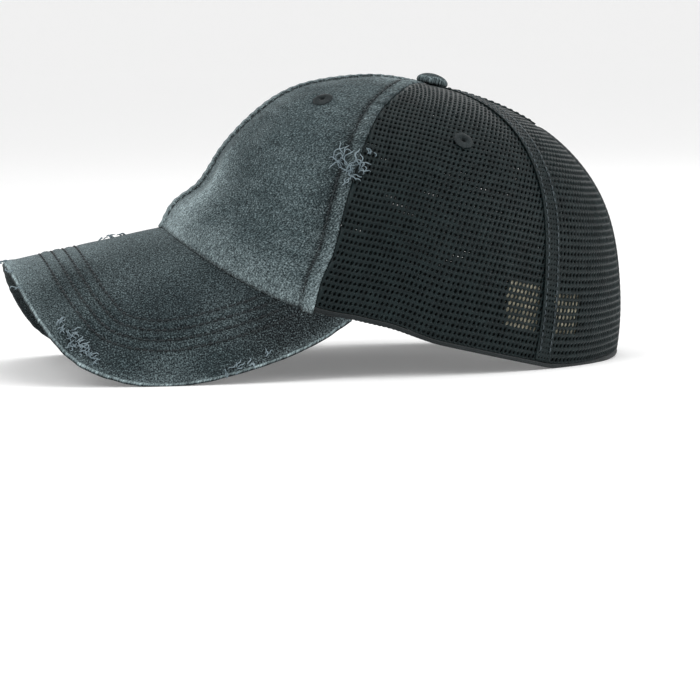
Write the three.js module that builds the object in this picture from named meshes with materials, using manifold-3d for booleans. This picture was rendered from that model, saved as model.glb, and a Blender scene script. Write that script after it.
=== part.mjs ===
// Ponytail baseball cap, at rest on a floor: millimetres, +Z up, peak towards -Y,
// the wearer's left towards +X. Every piece is shaped in the cap's own frame, with the
// head opening's rim on z = 0, and the whole cap is then tipped back until the sides of
// its peak and the back of its hem touch the floor together.
import * as THREE from 'three';
import { mergeVertices } from 'three/addons/utils/BufferGeometryUtils.js';
import Module from 'manifold-3d';

// Crown: distances from the middle of the head opening to the cloth's outer face
const CROWN_FRONT = 101.5;
const CROWN_REAR = 105.7;
const CROWN_HALF_WIDTH = 83.6;
const CROWN_HEIGHT = 106.8;
const CROWN_FULLNESS = 2.42;
const SIDE_FULLNESS = 2.32;
const REAR_HEM_LIFT = 11.4;

// Cloth walls, and the space kept between two pieces
const COTTON_WALL = 1.5;
const MESH_WALL = 1.2;
const CLEARANCE = 0.3;
const SEAT_CLEARANCE = 0.5;

// Seams between the panels, as angles from the centre front
const FRONT_SEAM_ANGLE = 60.4;
const FRONT_SEAM_SWING = 5.8;
const REAR_SEAM_ANGLE = 125.1;
const REAR_SEAM_SWING = 7.4;

// Peak: a flat pattern bent over an arch that slopes down to the front
const VISOR_LENGTH = 70.4;
const VISOR_HALF_WIDTH = 110.0;
const VISOR_THICKNESS = 2.8;
const VISOR_TUCK = 3.7;
const VISOR_PITCH = 25.3;
const VISOR_FRONT_HEIGHT = 20.7;
const VISOR_SIDE_SLOPE = 56.8;
const VISOR_ARCH_REACH = 100;
const VISOR_ARCH_GROWTH = 0.8;
const VISOR_END_ANGLE = 75.5;
const HEM_LEVEL_ANGLE = 8;
const HEM_BLEND_ANGLE = 14;

// Opening for the ponytail, from the hem up the centre back
const SLIT_TOP = 110;
const SLIT_HALF_WIDTH = 15;
const SLIT_HALF_WIDTH_AT_HEM = 10;
const BINDING_WIDTH = 4;
const BINDING_THICKNESS = 2.6;
const BINDING_CLEARANCE = 0.5;

// Closure under the opening
const STRAP_WIDTH = 18;
const STRAP_THICKNESS = 1.2;
const STRAP_SEWN_LENGTH = 32;
const STRAP_FREE_LENGTH = 44;
const STRAP_ABOVE_HEM = 4;
const TAB_THICKNESS = 0.8;
const TAB_MARGIN = 2;

// Inside pieces
const TAPE_WIDTH = 8;
const TAPE_THICKNESS = 0.8;
const SWEATBAND_HEIGHT = 28;
const SWEATBAND_THICKNESS = 1.5;
const PATCH_WIDTH = 38;
const PATCH_HEIGHT = 20;
const PATCH_THICKNESS = 0.9;
const PATCH_ABOVE_HEM = 14;
const PATCH_OFF_SEAM = -3;

// Button over the panels' tips
const BUTTON_RADIUS = 6.9;
const BUTTON_HEIGHT = 4.8;
const BUTTON_SHANK_RADIUS = 2.4;
const WASHER_RADIUS = 5.5;
const WASHER_THICKNESS = 0.8;
const TIP_RADIUS = 3.4;

// Ventilation eyelets
const EYELET_RADIUS = 4.3;
const EYELET_RISE = 0.8;
const EYELET_SLEEVE_RADIUS = 2.2;
const EYELET_HOLE_RADIUS = 1.2;
const EYELET_BACK_RADIUS = 3.2;
const EYELET_BACK_CLEARANCE = 0.8;
const FRONT_EYELET_ANGLE = 33.4;
const FRONT_EYELET_UP = 0.573;
const SIDE_EYELET_ANGLE = 96.8;
const SIDE_EYELET_UP = 0.557;

// How far the cloth is pressed flat where the cap stands on it
const REST_FLATTENING = 0.4;

const DEGREE = Math.PI / 180;

// Crown profiles: share of the way up the quarter turn from hem to tip, and the share of
// the full reach that the cloth has there
const FRONT_PROFILE = [
  { up: 0.0, reach: 1.0 },
  { up: 0.05, reach: 0.974 },
  { up: 0.12, reach: 0.897 },
  { up: 0.25, reach: 0.876 },
  { up: 0.4, reach: 0.866 },
  { up: 0.6, reach: 0.873 },
  { up: 0.8, reach: 0.844 },
  { up: 1.0, reach: 1.0 },
];
const REAR_PROFILE = [
  { up: 0.0, reach: 1.0 },
  { up: 0.2, reach: 0.967 },
  { up: 0.45, reach: 0.97 },
  { up: 0.7, reach: 0.978 },
  { up: 0.85, reach: 1.0 },
  { up: 1.0, reach: 1.0 },
];

// Peak's outer edge on its flat pattern, from the centre line to the side: shares of the
// peak's half width and of its length
const VISOR_EDGE = [
  { across: 0.0, forward: 1.0 },
  { across: 0.212, forward: 0.989 },
  { across: 0.422, forward: 0.96 },
  { across: 0.598, forward: 0.909 },
  { across: 0.76, forward: 0.82 },
  { across: 0.875, forward: 0.67 },
  { across: 0.965, forward: 0.42 },
  { across: 1.003, forward: 0.118 },
  { across: 0.995, forward: -0.28 },
  { across: 0.955, forward: -0.62 },
];

// Rows of every panel's net: shares of the opening's height, then of the rest to the tip
const SLIT_ROWS = [0, 0.05, 0.1, 0.16, 0.24, 0.36, 0.5, 0.65, 0.78, 0.88, 0.95, 0.985, 1];
const ROWS_OVER_SLIT = [0.35, 0.7, 1];
const PANEL_COLUMNS = 8;

const COTTON = { color: 0x3f4a50, roughness: 0.92 };
const MESH_CLOTH = { color: 0x1a2224, roughness: 0.8 };
const DARK_TRIM = { color: 0x20282b, roughness: 0.9 };
const TAN_CLOTH = { color: 0xb8ab84, roughness: 0.9 };

// Value of a column between the rows of a table, on a smooth curve through them
function readTable(table, key, column, at) {
  const last = table.length - 1;
  if (at <= table[0][key]) return table[0][column];
  if (at >= table[last][key]) return table[last][column];
  let i = 0;
  while (at > table[i + 1][key]) i += 1;
  const slope = (k) => {
    const low = table[Math.max(k - 1, 0)];
    const high = table[Math.min(k + 1, last)];
    return (high[column] - low[column]) / (high[key] - low[key]);
  };
  const span = table[i + 1][key] - table[i][key];
  const s = (at - table[i][key]) / span;
  const start = table[i][column];
  const end = table[i + 1][column];
  const rise = slope(i) * span;
  const fall = slope(i + 1) * span;
  const a = 2 * s ** 3 - 3 * s ** 2 + 1;
  const b = s ** 3 - 2 * s ** 2 + s;
  const c = -2 * s ** 3 + 3 * s ** 2;
  const d = s ** 3 - s ** 2;
  return a * start + b * rise + c * end + d * fall;
}

// The peak's arch, walked from its centre line to the side: pattern distance, sideways
// distance and drop
function makeArch() {
  const steps = 160;
  const far = 1.25 * Math.max(VISOR_HALF_WIDTH, CROWN_HALF_WIDTH);
  const arch = [{ along: 0, sideways: 0, drop: 0 }];
  for (let i = 1; i <= steps; i += 1) {
    const step = far / steps;
    const along = i * step;
    const slope = archSlope(along - step / 2);
    const before = arch[i - 1];
    arch.push({
      along,
      sideways: before.sideways + step * Math.cos(slope),
      drop: before.drop + step * Math.sin(slope),
    });
  }
  return arch;
}

function archSlope(along) {
  const share = Math.abs(along) / VISOR_ARCH_REACH;
  return Math.min(VISOR_SIDE_SLOPE * DEGREE * share ** VISOR_ARCH_GROWTH, 1.5);
}

const ARCH = makeArch();

function walkArch(from, value, to) {
  let i = 1;
  while (i < ARCH.length - 1 && ARCH[i][from] < value) i += 1;
  const low = ARCH[i - 1];
  const high = ARCH[i];
  const share = (value - low[from]) / (high[from] - low[from]);
  return low[to] + share * (high[to] - low[to]);
}

// Peak's top face over a point of the plan
function visorHeight(x, y) {
  const pitch = VISOR_PITCH * DEGREE;
  const drop = walkArch('sideways', Math.abs(x), 'drop');
  return VISOR_FRONT_HEIGHT + Math.tan(pitch) * (CROWN_FRONT + y) - drop / Math.cos(pitch);
}

// Height of the hem, or of whatever a piece inside it stands over: on the peak in front,
// level at the sides, lifted at the back
function seatHeight(x, y) {
  const reach = y < 0 ? CROWN_FRONT : CROWN_REAR;
  const angle = Math.atan2(Math.abs(x) / CROWN_HALF_WIDTH, -y / reach);
  const end = VISOR_END_ANGLE * DEGREE;
  if (angle <= end) return visorHeight(x, y);
  const share = Math.hypot(x / CROWN_HALF_WIDTH, y / reach);
  const endHeight = visorHeight(
    share * CROWN_HALF_WIDTH * Math.sin(end),
    -share * CROWN_FRONT * Math.cos(end),
  );
  const fade = 1 - THREE.MathUtils.smoothstep(
    angle - end,
    HEM_LEVEL_ANGLE * DEGREE,
    (HEM_LEVEL_ANGLE + HEM_BLEND_ANGLE) * DEGREE,
  );
  const back = Math.max((-Math.cos(angle) - 0.6) / 0.4, 0);
  return endHeight * fade + REAR_HEM_LIFT * back ** 1.5;
}

// Point on the crown's outer face: angle from the centre front, share of the way up
function crownPoint(angle, up) {
  const turn = up * Math.PI / 2;
  const reach = Math.cos(turn) ** (2 / CROWN_FULLNESS);
  const sideReach = Math.cos(turn) ** (2 / SIDE_FULLNESS);
  const rise = Math.sin(turn) ** (2 / CROWN_FULLNESS);
  const front = Math.cos(angle) > 0;
  const profile = front ? FRONT_PROFILE : REAR_PROFILE;
  const length = (front ? CROWN_FRONT : CROWN_REAR) * readTable(profile, 'up', 'reach', up);
  const hem = seatHeight(
    CROWN_HALF_WIDTH * Math.sin(angle),
    -(front ? CROWN_FRONT : CROWN_REAR) * Math.cos(angle),
  );
  return new THREE.Vector3(
    CROWN_HALF_WIDTH * Math.sin(angle) * sideReach,
    -length * Math.cos(angle) * reach,
    CROWN_HEIGHT * rise + hem * (1 - up) ** 2,
  );
}

function crownNormal(angle, up) {
  const step = 0.002;
  const low = Math.max(up - step, 0);
  const across = crownPoint(angle + step, up).sub(crownPoint(angle - step, up));
  const along = crownPoint(angle, Math.min(up + step, 1)).sub(crownPoint(angle, low));
  return across.cross(along).normalize();
}

// Point at a depth under the outer face
function layerPoint(angle, up, depth) {
  return crownPoint(angle, up).addScaledVector(crownNormal(angle, up), -depth);
}

// Length of cloth for each radian round the crown
function girth(angle, up) {
  const step = 0.01;
  return crownPoint(angle + step, up).distanceTo(crownPoint(angle - step, up)) / (2 * step);
}

// Distances up the crown along one angle, and the share of the way up at a distance
function makeRise(angle) {
  const steps = 120;
  const rise = [{ up: 0, length: 0 }];
  for (let i = 1; i <= steps; i += 1) {
    const step = crownPoint(angle, i / steps).distanceTo(crownPoint(angle, (i - 1) / steps));
    rise.push({ up: i / steps, length: rise[i - 1].length + step });
  }
  return rise;
}

function upAt(rise, length) {
  let i = 1;
  while (i < rise.length - 1 && rise[i].length < length) i += 1;
  const low = rise[i - 1];
  const high = rise[i];
  const share = (length - low.length) / (high.length - low.length);
  return low.up + share * (high.up - low.up);
}

const REAR_RISE = makeRise(Math.PI);
const SEAM_RISE = makeRise(REAR_SEAM_ANGLE * DEGREE);
const TIP_UP = Math.acos((TIP_RADIUS / CROWN_HALF_WIDTH) ** (SIDE_FULLNESS / 2)) / (Math.PI / 2);

const SLIT_TOP_UP = upAt(REAR_RISE, SLIT_TOP);
const PANEL_ROWS = [
  ...SLIT_ROWS.map((share) => upAt(REAR_RISE, share * SLIT_TOP)),
  ...ROWS_OVER_SLIT.map((share) => SLIT_TOP_UP + (TIP_UP - SLIT_TOP_UP) * share),
];

function frontSeam(up) {
  return (FRONT_SEAM_ANGLE + FRONT_SEAM_SWING * (1 - up) ** 2) * DEGREE;
}

function rearSeam(up) {
  return (REAR_SEAM_ANGLE + REAR_SEAM_SWING * up ** 2) * DEGREE;
}

// Half the width between the rear panels, at a distance up the centre back
function slitHalfWidth(length) {
  const share = Math.min(length / SLIT_TOP, 1);
  const open = Math.sin(Math.min(share / 0.6, 1) * Math.PI / 2) ** 2;
  const widest = SLIT_HALF_WIDTH_AT_HEM + (SLIT_HALF_WIDTH - SLIT_HALF_WIDTH_AT_HEM) * open;
  return widest * Math.sqrt(1 - share ** 6);
}

// Closed solid from loops of points, one after the other, with both ends closed
function skin(loops) {
  const size = loops[0].length;
  const positions = loops.flat().flatMap((point) => point.toArray());
  const index = [];
  for (let i = 0; i + 1 < loops.length; i += 1) {
    for (let j = 0; j < size; j += 1) {
      const a = i * size + j;
      const b = i * size + (j + 1) % size;
      index.push(a, b, b + size, a, b + size, a + size);
    }
  }
  const last = (loops.length - 1) * size;
  for (let j = 0; j + 1 < size / 2; j += 1) {
    const k = size - 1 - j;
    index.push(j, k, j + 1);
    if (j + 1 < k - 1) index.push(j + 1, k, k - 1);
    index.push(last + j, last + j + 1, last + k);
    if (j + 1 < k - 1) index.push(last + j + 1, last + k - 1, last + k);
  }
  return outward(positions, index);
}

// Closed solid from an outer and an inner net of points of the same size
function wall(outer, inner) {
  const rows = outer.length;
  const columns = outer[0].length;
  const count = rows * columns;
  const positions = [...outer.flat(), ...inner.flat()].flatMap((point) => point.toArray());
  const index = [];
  const quad = (a, b, c, d) => index.push(a, b, c, a, c, d);
  for (let r = 0; r + 1 < rows; r += 1) {
    for (let c = 0; c + 1 < columns; c += 1) {
      const a = r * columns + c;
      quad(a, a + 1, a + 1 + columns, a + columns);
      quad(count + a, count + a + columns, count + a + 1 + columns, count + a + 1);
    }
    const left = r * columns;
    const right = left + columns - 1;
    quad(left, left + columns, count + left + columns, count + left);
    quad(right, count + right, count + right + columns, right + columns);
  }
  for (let c = 0; c + 1 < columns; c += 1) {
    const top = (rows - 1) * columns + c;
    quad(c, count + c, count + c + 1, c + 1);
    quad(top, top + 1, count + top + 1, count + top);
  }
  return outward(positions, index);
}

// Geometry whose faces point out, whichever way the net was walked
function outward(positions, index) {
  const geometry = new THREE.BufferGeometry();
  geometry.setAttribute('position', new THREE.Float32BufferAttribute(positions, 3));
  const point = (i) => new THREE.Vector3().fromArray(positions, 3 * i);
  let volume = 0;
  for (let i = 0; i < index.length; i += 3) {
    volume += point(index[i]).dot(point(index[i + 1]).cross(point(index[i + 2])));
  }
  const turned = index.slice();
  for (let i = 0; volume < 0 && i < index.length; i += 3) {
    turned[i + 1] = index[i + 2];
    turned[i + 2] = index[i + 1];
  }
  geometry.setIndex(turned);
  return geometry;
}

// Cloth that follows the crown: rows from low to high, the angles of its two sides at
// each row, and the depth of its outer face
function crownSheet({ rows, columns, sides, depth, thickness, seated }) {
  const outer = [];
  const inner = [];
  rows.forEach((up, row) => {
    const [start, end] = sides(up, row);
    const faces = [[], []];
    for (let c = 0; c <= columns; c += 1) {
      const share = c / columns;
      const angle = start + (end - start) * share;
      const top = depth(share);
      [top, top + thickness].forEach((level, face) => {
        const point = layerPoint(angle, up, level);
        if (seated && row === 0) point.z = seatHeight(point.x, point.y) + SEAT_CLEARANCE;
        faces[face].push(point);
      });
    }
    outer.push(faces[0]);
    inner.push(faces[1]);
  });
  return wall(outer, inner);
}

// Angle that a length of cloth takes at a height on the crown
function angleOf(length, angle, up) {
  return length / girth(angle, up);
}

const wasm = await Module();
wasm.setup();

function toManifold(geometry) {
  const bare = geometry.clone();
  bare.deleteAttribute('normal');
  bare.deleteAttribute('uv');
  const merged = mergeVertices(bare, 1e-4);
  return new wasm.Manifold(new wasm.Mesh({
    numProp: 3,
    vertProperties: new Float32Array(merged.attributes.position.array),
    triVerts: new Uint32Array(merged.index.array),
  }));
}

function toGeometry(manifold) {
  const mesh = manifold.getMesh();
  const geometry = new THREE.BufferGeometry();
  geometry.setAttribute('position', new THREE.BufferAttribute(mesh.vertProperties, 3));
  geometry.setIndex(new THREE.BufferAttribute(mesh.triVerts, 1));
  return geometry;
}

function cut(geometry, tool) {
  return toGeometry(toManifold(geometry).subtract(toManifold(tool)));
}

// A place on the outer face of a panel's net, turned the way the crown faces there
function placeOn(geometry, angle, up) {
  const out = crownNormal(angle, up);
  const start = layerPoint(angle, up, -CROWN_HEIGHT / 2);
  const ray = new THREE.Raycaster(start, out.clone().negate());
  const hit = ray.intersectObject(new THREE.Mesh(geometry, new THREE.MeshBasicMaterial()))[0];
  return {
    position: hit.point,
    turn: new THREE.Quaternion().setFromUnitVectors(new THREE.Vector3(0, 1, 0), out),
  };
}

function punch(geometry, place) {
  const drill = new THREE.CylinderGeometry(
    EYELET_SLEEVE_RADIUS + CLEARANCE,
    EYELET_SLEEVE_RADIUS + CLEARANCE,
    EYELET_RADIUS * 4,
    14,
  );
  drill.applyQuaternion(place.turn);
  drill.translate(place.position.x, place.position.y, place.position.z);
  return cut(geometry, drill);
}

function panelSides(start, end) {
  return (up) => {
    const low = start(up);
    const high = end(up);
    const half = CLEARANCE / 2;
    return [low + angleOf(half, low, up), high - angleOf(half, high, up)];
  };
}

function frontPanel(side) {
  const seams = panelSides(() => 0, frontSeam);
  const panel = crownSheet({
    rows: PANEL_ROWS,
    columns: PANEL_COLUMNS,
    sides: (up) => seams(up).map((angle) => side * angle),
    depth: () => 0,
    thickness: COTTON_WALL,
    seated: true,
  });
  const place = placeOn(panel, side * FRONT_EYELET_ANGLE * DEGREE, FRONT_EYELET_UP);
  return { geometry: punch(panel, place), place };
}

function sidePanel(side) {
  const seams = panelSides(frontSeam, rearSeam);
  const panel = crownSheet({
    rows: PANEL_ROWS,
    columns: PANEL_COLUMNS,
    sides: (up) => seams(up).map((angle) => side * angle),
    depth: () => 0,
    thickness: MESH_WALL,
    seated: true,
  });
  const place = placeOn(panel, side * SIDE_EYELET_ANGLE * DEGREE, SIDE_EYELET_UP);
  return { geometry: punch(panel, place), place };
}

function rearPanel(side) {
  return crownSheet({
    rows: PANEL_ROWS,
    columns: PANEL_COLUMNS,
    sides: (up, row) => {
      const seam = rearSeam(up);
      const open = row < SLIT_ROWS.length ? slitHalfWidth(SLIT_ROWS[row] * SLIT_TOP) : 0;
      const back = Math.PI - angleOf(open + CLEARANCE / 2, Math.PI, up);
      return [seam + angleOf(CLEARANCE / 2, seam, up), back].map((angle) => side * angle);
    },
    depth: () => 0,
    thickness: MESH_WALL,
    seated: true,
  });
}

// Pattern place of a point of the plan on the peak's arch
function visorPattern(x, y) {
  const pitch = VISOR_PITCH * DEGREE;
  const drop = walkArch('sideways', Math.abs(x), 'drop');
  return new THREE.Vector2(
    Math.sign(x) * walkArch('sideways', Math.abs(x), 'along'),
    (-CROWN_FRONT - y + drop * Math.sin(pitch)) / Math.cos(pitch),
  );
}

// Point on the bent peak, at a depth under its top face
function visorPoint(pattern, depth) {
  const pitch = VISOR_PITCH * DEGREE;
  const along = Math.abs(pattern.x);
  const side = Math.sign(pattern.x);
  const slope = archSlope(along);
  const drop = walkArch('along', along, 'drop') + depth * Math.cos(slope);
  return new THREE.Vector3(
    side * (walkArch('along', along, 'sideways') - depth * Math.sin(slope)),
    -CROWN_FRONT - pattern.y * Math.cos(pitch) + drop * Math.sin(pitch),
    VISOR_FRONT_HEIGHT - pattern.y * Math.sin(pitch) - drop * Math.cos(pitch),
  );
}

// Pattern place of the hem line, at a distance inside it and a depth under the top face
function hemPattern(angle, inset, depth) {
  const out = new THREE.Vector2(
    Math.sin(angle) / CROWN_HALF_WIDTH,
    -Math.cos(angle) / CROWN_FRONT,
  ).normalize();
  const x = CROWN_HALF_WIDTH * Math.sin(angle) - inset * out.x;
  const y = -CROWN_FRONT * Math.cos(angle) - inset * out.y;
  const slope = archSlope(visorPattern(x, y).x);
  return visorPattern(
    x + Math.sign(x) * depth * Math.sin(slope),
    y - depth * Math.cos(slope) * Math.sin(VISOR_PITCH * DEGREE),
  );
}

// Outer edge of the peak on its pattern, from the right end to the left end
function visorEdge() {
  const half = VISOR_EDGE.map((row) => new THREE.Vector2(
    row.across * VISOR_HALF_WIDTH,
    row.forward * VISOR_LENGTH,
  ));
  half.push(hemPattern(VISOR_END_ANGLE * DEGREE, 0, 0));
  const mirrored = half.slice(1).reverse().map((point) => new THREE.Vector2(-point.x, point.y));
  return new THREE.SplineCurve([...mirrored, ...half]);
}

function visor() {
  const stations = 44;
  const edge = visorEdge();
  const rim = VISOR_THICKNESS / 2;
  const rows = [0, 0.3, 0.6, 1];
  const turns = [0.25, 0.5, 0.75].map((share) => share * Math.PI);
  const loops = [];
  for (let i = 0; i <= stations; i += 1) {
    const share = i / stations;
    const angle = (2 * share - 1) * VISOR_END_ANGLE * DEGREE;
    const outer = edge.getPoint(share);
    const row = (inner, reach, depth) => {
      const across = outer.clone().sub(inner);
      const length = across.length();
      const place = inner.clone().addScaledVector(across, (reach * (length - rim)) / length);
      return visorPoint(place, depth);
    };
    const over = hemPattern(angle, VISOR_TUCK, 0);
    const below = hemPattern(angle, VISOR_TUCK, VISOR_THICKNESS);
    const across = outer.clone().sub(over).normalize();
    const round = turns.map((turn) => visorPoint(
      outer.clone().addScaledVector(across, rim * (Math.sin(turn) - 1)),
      rim * (1 - Math.cos(turn)),
    ));
    loops.push([
      ...rows.map((reach) => row(over, reach, 0)),
      ...round,
      ...rows.map((reach) => row(below, reach, VISOR_THICKNESS)).reverse(),
    ]);
  }
  return skin(loops);
}

// Spool of stitching round a ventilation hole, standing on both faces of the cloth
function eyelet(wallThickness) {
  const back = wallThickness + EYELET_BACK_CLEARANCE;
  const profile = [
    [EYELET_HOLE_RADIUS, EYELET_RISE * 0.7 + CLEARANCE],
    [EYELET_HOLE_RADIUS, -back - EYELET_RISE * 0.6],
    [EYELET_BACK_RADIUS, -back - EYELET_RISE * 0.6],
    [EYELET_BACK_RADIUS, -back],
    [EYELET_SLEEVE_RADIUS, -back],
    [EYELET_SLEEVE_RADIUS, CLEARANCE],
    [EYELET_RADIUS, CLEARANCE],
    [EYELET_RADIUS * 0.96, CLEARANCE + EYELET_RISE * 0.6],
    [EYELET_RADIUS * 0.72, CLEARANCE + EYELET_RISE],
    [EYELET_RADIUS * 0.45, CLEARANCE + EYELET_RISE],
    [EYELET_HOLE_RADIUS, EYELET_RISE * 0.7 + CLEARANCE],
  ];
  return new THREE.LatheGeometry(profile.map(([r, y]) => new THREE.Vector2(r, y)), 14);
}

// Covered dome over the tips, its shank through them and its washer underneath
function button() {
  const under = -COTTON_WALL - CLEARANCE;
  const dome = [1, 0.97, 0.8, 0.5, 0].map((share) => new THREE.Vector2(
    BUTTON_RADIUS * share,
    CLEARANCE + BUTTON_HEIGHT * (0.25 + 0.75 * Math.sqrt(1 - share * share)),
  ));
  const profile = [
    new THREE.Vector2(0, under - WASHER_THICKNESS),
    new THREE.Vector2(WASHER_RADIUS, under - WASHER_THICKNESS),
    new THREE.Vector2(WASHER_RADIUS, under),
    new THREE.Vector2(BUTTON_SHANK_RADIUS, under),
    new THREE.Vector2(BUTTON_SHANK_RADIUS, CLEARANCE),
    new THREE.Vector2(BUTTON_RADIUS * 0.94, CLEARANCE),
    ...dome,
  ];
  const geometry = new THREE.LatheGeometry(profile, 20);
  geometry.rotateX(Math.PI / 2);
  geometry.translate(0, 0, CROWN_HEIGHT);
  return geometry;
}

function seamTape(side) {
  const top = 0.955 * TIP_UP;
  return crownSheet({
    rows: PANEL_ROWS.map((up) => Math.min(up, top)),
    columns: 2,
    sides: (up) => {
      const seam = rearSeam(up);
      const half = angleOf(TAPE_WIDTH / 2, seam, up);
      return [side * (seam - half), side * (seam + half)];
    },
    depth: () => MESH_WALL + CLEARANCE,
    thickness: TAPE_THICKNESS,
    seated: true,
  });
}

const PATCH_DEPTH = MESH_WALL + TAPE_THICKNESS + 2 * CLEARANCE;
const SWEATBAND_DEPTH = Math.max(PATCH_DEPTH + PATCH_THICKNESS, VISOR_TUCK) + CLEARANCE;

function innerPatch() {
  const rows = [0, 0.5, 1].map((share) => PATCH_ABOVE_HEM + PATCH_HEIGHT * share);
  return crownSheet({
    rows: rows.map((length) => upAt(SEAM_RISE, length)),
    columns: 6,
    sides: (up) => {
      const middle = rearSeam(up) + angleOf(PATCH_OFF_SEAM, rearSeam(up), up);
      const half = angleOf(PATCH_WIDTH / 2, middle, up);
      return [middle - half, middle + half];
    },
    depth: () => PATCH_DEPTH,
    thickness: PATCH_THICKNESS,
  });
}

function sweatband() {
  const rows = [0, 0.35, 0.7, 1].map((share) => share * upAt(SEAM_RISE, SWEATBAND_HEIGHT));
  return crownSheet({
    rows,
    columns: 48,
    sides: (up) => {
      const end = Math.PI - angleOf(SLIT_HALF_WIDTH_AT_HEM, Math.PI, up);
      return [-end, end];
    },
    depth: () => SWEATBAND_DEPTH,
    thickness: SWEATBAND_THICKNESS,
    seated: true,
  });
}

// Place at the centre back: cloth length to the wearer's left, length above the hem
function backAngle(left, up) {
  return Math.PI - angleOf(left, Math.PI, up);
}

// Elastic binding round the opening, from the hem over the top and down again
function openingBinding() {
  const half = SLIT_ROWS.map((share) => share * SLIT_TOP)
    .map((length) => new THREE.Vector2(slitHalfWidth(length), length));
  const mirrored = half.slice(0, -1).reverse().map((point) => new THREE.Vector2(-point.x, point.y));
  const edge = [...half, ...mirrored];
  const inset = BINDING_CLEARANCE + BINDING_WIDTH / 2;
  const path = edge.map((point, i) => {
    const before = edge[Math.max(i - 1, 0)];
    const after = edge[Math.min(i + 1, edge.length - 1)];
    const along = after.clone().sub(before).normalize();
    return point.clone().add(new THREE.Vector2(-along.y, along.x).multiplyScalar(inset));
  });
  path[0].y = CLEARANCE;
  path[path.length - 1].y = CLEARANCE;
  const curve = new THREE.CatmullRomCurve3(path.map((point) => {
    const up = upAt(REAR_RISE, point.y);
    return layerPoint(backAngle(point.x, up), up, MESH_WALL / 2);
  }));
  const steps = 40;
  const loops = [];
  for (let i = 0; i <= steps; i += 1) {
    const place = curve.getPointAt(i / steps);
    const along = curve.getTangentAt(i / steps);
    const out = rearNormal(place);
    const across = along.clone().cross(out).normalize();
    const loop = [];
    for (let k = 0; k < 8; k += 1) {
      const turn = (k + 0.5) / 8 * 2 * Math.PI;
      loop.push(place.clone()
        .addScaledVector(across, Math.cos(turn) * BINDING_WIDTH / 2)
        .addScaledVector(out, Math.sin(turn) * BINDING_THICKNESS / 2));
    }
    loops.push(loop);
  }
  return skin(loops);
}

// Crown's outward direction at the back, at the height of a place
function rearNormal(place) {
  let low = 0;
  let high = 1;
  for (let i = 0; i < 20; i += 1) {
    const middle = (low + high) / 2;
    if (crownPoint(Math.PI, middle).z < place.z) low = middle;
    else high = middle;
  }
  return crownNormal(backAngle(place.x, low), low);
}

function strapRows(margin) {
  return [margin, STRAP_WIDTH / 2, STRAP_WIDTH - margin]
    .map((length) => upAt(REAR_RISE, STRAP_ABOVE_HEM + length));
}

const TAB_DEPTH = -CLEARANCE - TAB_THICKNESS;
const STRAP_OUTSIDE_DEPTH = TAB_DEPTH - CLEARANCE - STRAP_THICKNESS;
const STRAP_INSIDE_DEPTH = (MESH_WALL + BINDING_THICKNESS) / 2 + CLEARANCE;

// Strap sewn inside the left rear panel, out through the opening and over the right one
function closureStrap() {
  const columns = 16;
  const length = STRAP_SEWN_LENGTH + STRAP_FREE_LENGTH;
  const crossing = SLIT_HALF_WIDTH_AT_HEM - BINDING_CLEARANCE - BINDING_WIDTH;
  return crownSheet({
    rows: strapRows(0),
    columns,
    sides: (up) => [backAngle(STRAP_SEWN_LENGTH, up), backAngle(-STRAP_FREE_LENGTH, up)],
    depth: (share) => {
      const left = STRAP_SEWN_LENGTH - share * length;
      const passed = THREE.MathUtils.smoothstep(-left, -crossing, crossing);
      return STRAP_INSIDE_DEPTH + (STRAP_OUTSIDE_DEPTH - STRAP_INSIDE_DEPTH) * passed;
    },
    thickness: STRAP_THICKNESS,
  });
}

function closureTab() {
  const start = SLIT_HALF_WIDTH_AT_HEM + BINDING_CLEARANCE + TAB_MARGIN;
  const end = STRAP_FREE_LENGTH - TAB_MARGIN;
  return crownSheet({
    rows: strapRows(TAB_MARGIN),
    columns: 4,
    sides: (up) => [backAngle(-start, up), backAngle(-end, up)],
    depth: () => TAB_DEPTH,
    thickness: TAB_THICKNESS,
  });
}

// Heights of a piece's points when the cap is tipped back
function lowest(geometries, tip) {
  let low = Infinity;
  geometries.forEach((geometry) => {
    const position = geometry.attributes.position;
    for (let i = 0; i < position.count; i += 1) {
      const height = position.getZ(i) * Math.cos(tip) - position.getY(i) * Math.sin(tip);
      low = Math.min(low, height);
    }
  });
  return low;
}

// Tip at which the peak and the back of the hem touch the floor together
function restTip(peak, hem) {
  let low = 0;
  let high = 40 * DEGREE;
  for (let i = 0; i < 40; i += 1) {
    const middle = (low + high) / 2;
    if (lowest(peak, middle) < lowest(hem, middle)) low = middle;
    else high = middle;
  }
  return (low + high) / 2;
}

const frontLeft = frontPanel(1);
const frontRight = frontPanel(-1);
const sideLeft = sidePanel(1);
const sideRight = sidePanel(-1);

const pieces = {
  front_panel_left: [frontLeft.geometry, COTTON],
  front_panel_right: [frontRight.geometry, COTTON],
  side_panel_left: [sideLeft.geometry, MESH_CLOTH],
  side_panel_right: [sideRight.geometry, MESH_CLOTH],
  rear_panel_left: [rearPanel(1), MESH_CLOTH],
  rear_panel_right: [rearPanel(-1), MESH_CLOTH],
  visor: [visor(), COTTON],
  button: [button(), COTTON],
  seam_tape_left: [seamTape(1), DARK_TRIM],
  seam_tape_right: [seamTape(-1), DARK_TRIM],
  inner_patch: [innerPatch(), TAN_CLOTH],
  sweatband: [sweatband(), DARK_TRIM],
  opening_binding: [openingBinding(), DARK_TRIM],
  closure_strap: [closureStrap(), DARK_TRIM],
  closure_tab: [closureTab(), DARK_TRIM],
};

const peak = [pieces.visor[0]];
const hem = [pieces.rear_panel_left[0], pieces.rear_panel_right[0]];
const tip = restTip(peak, hem);
const floor = lowest(peak, tip) + REST_FLATTENING;

// Everything under the floor, in the cap's own frame
function floorBlock() {
  const block = new THREE.BoxGeometry(600, 600, 60);
  block.translate(0, 0, floor - 30);
  block.rotateX(tip);
  return block;
}

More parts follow.
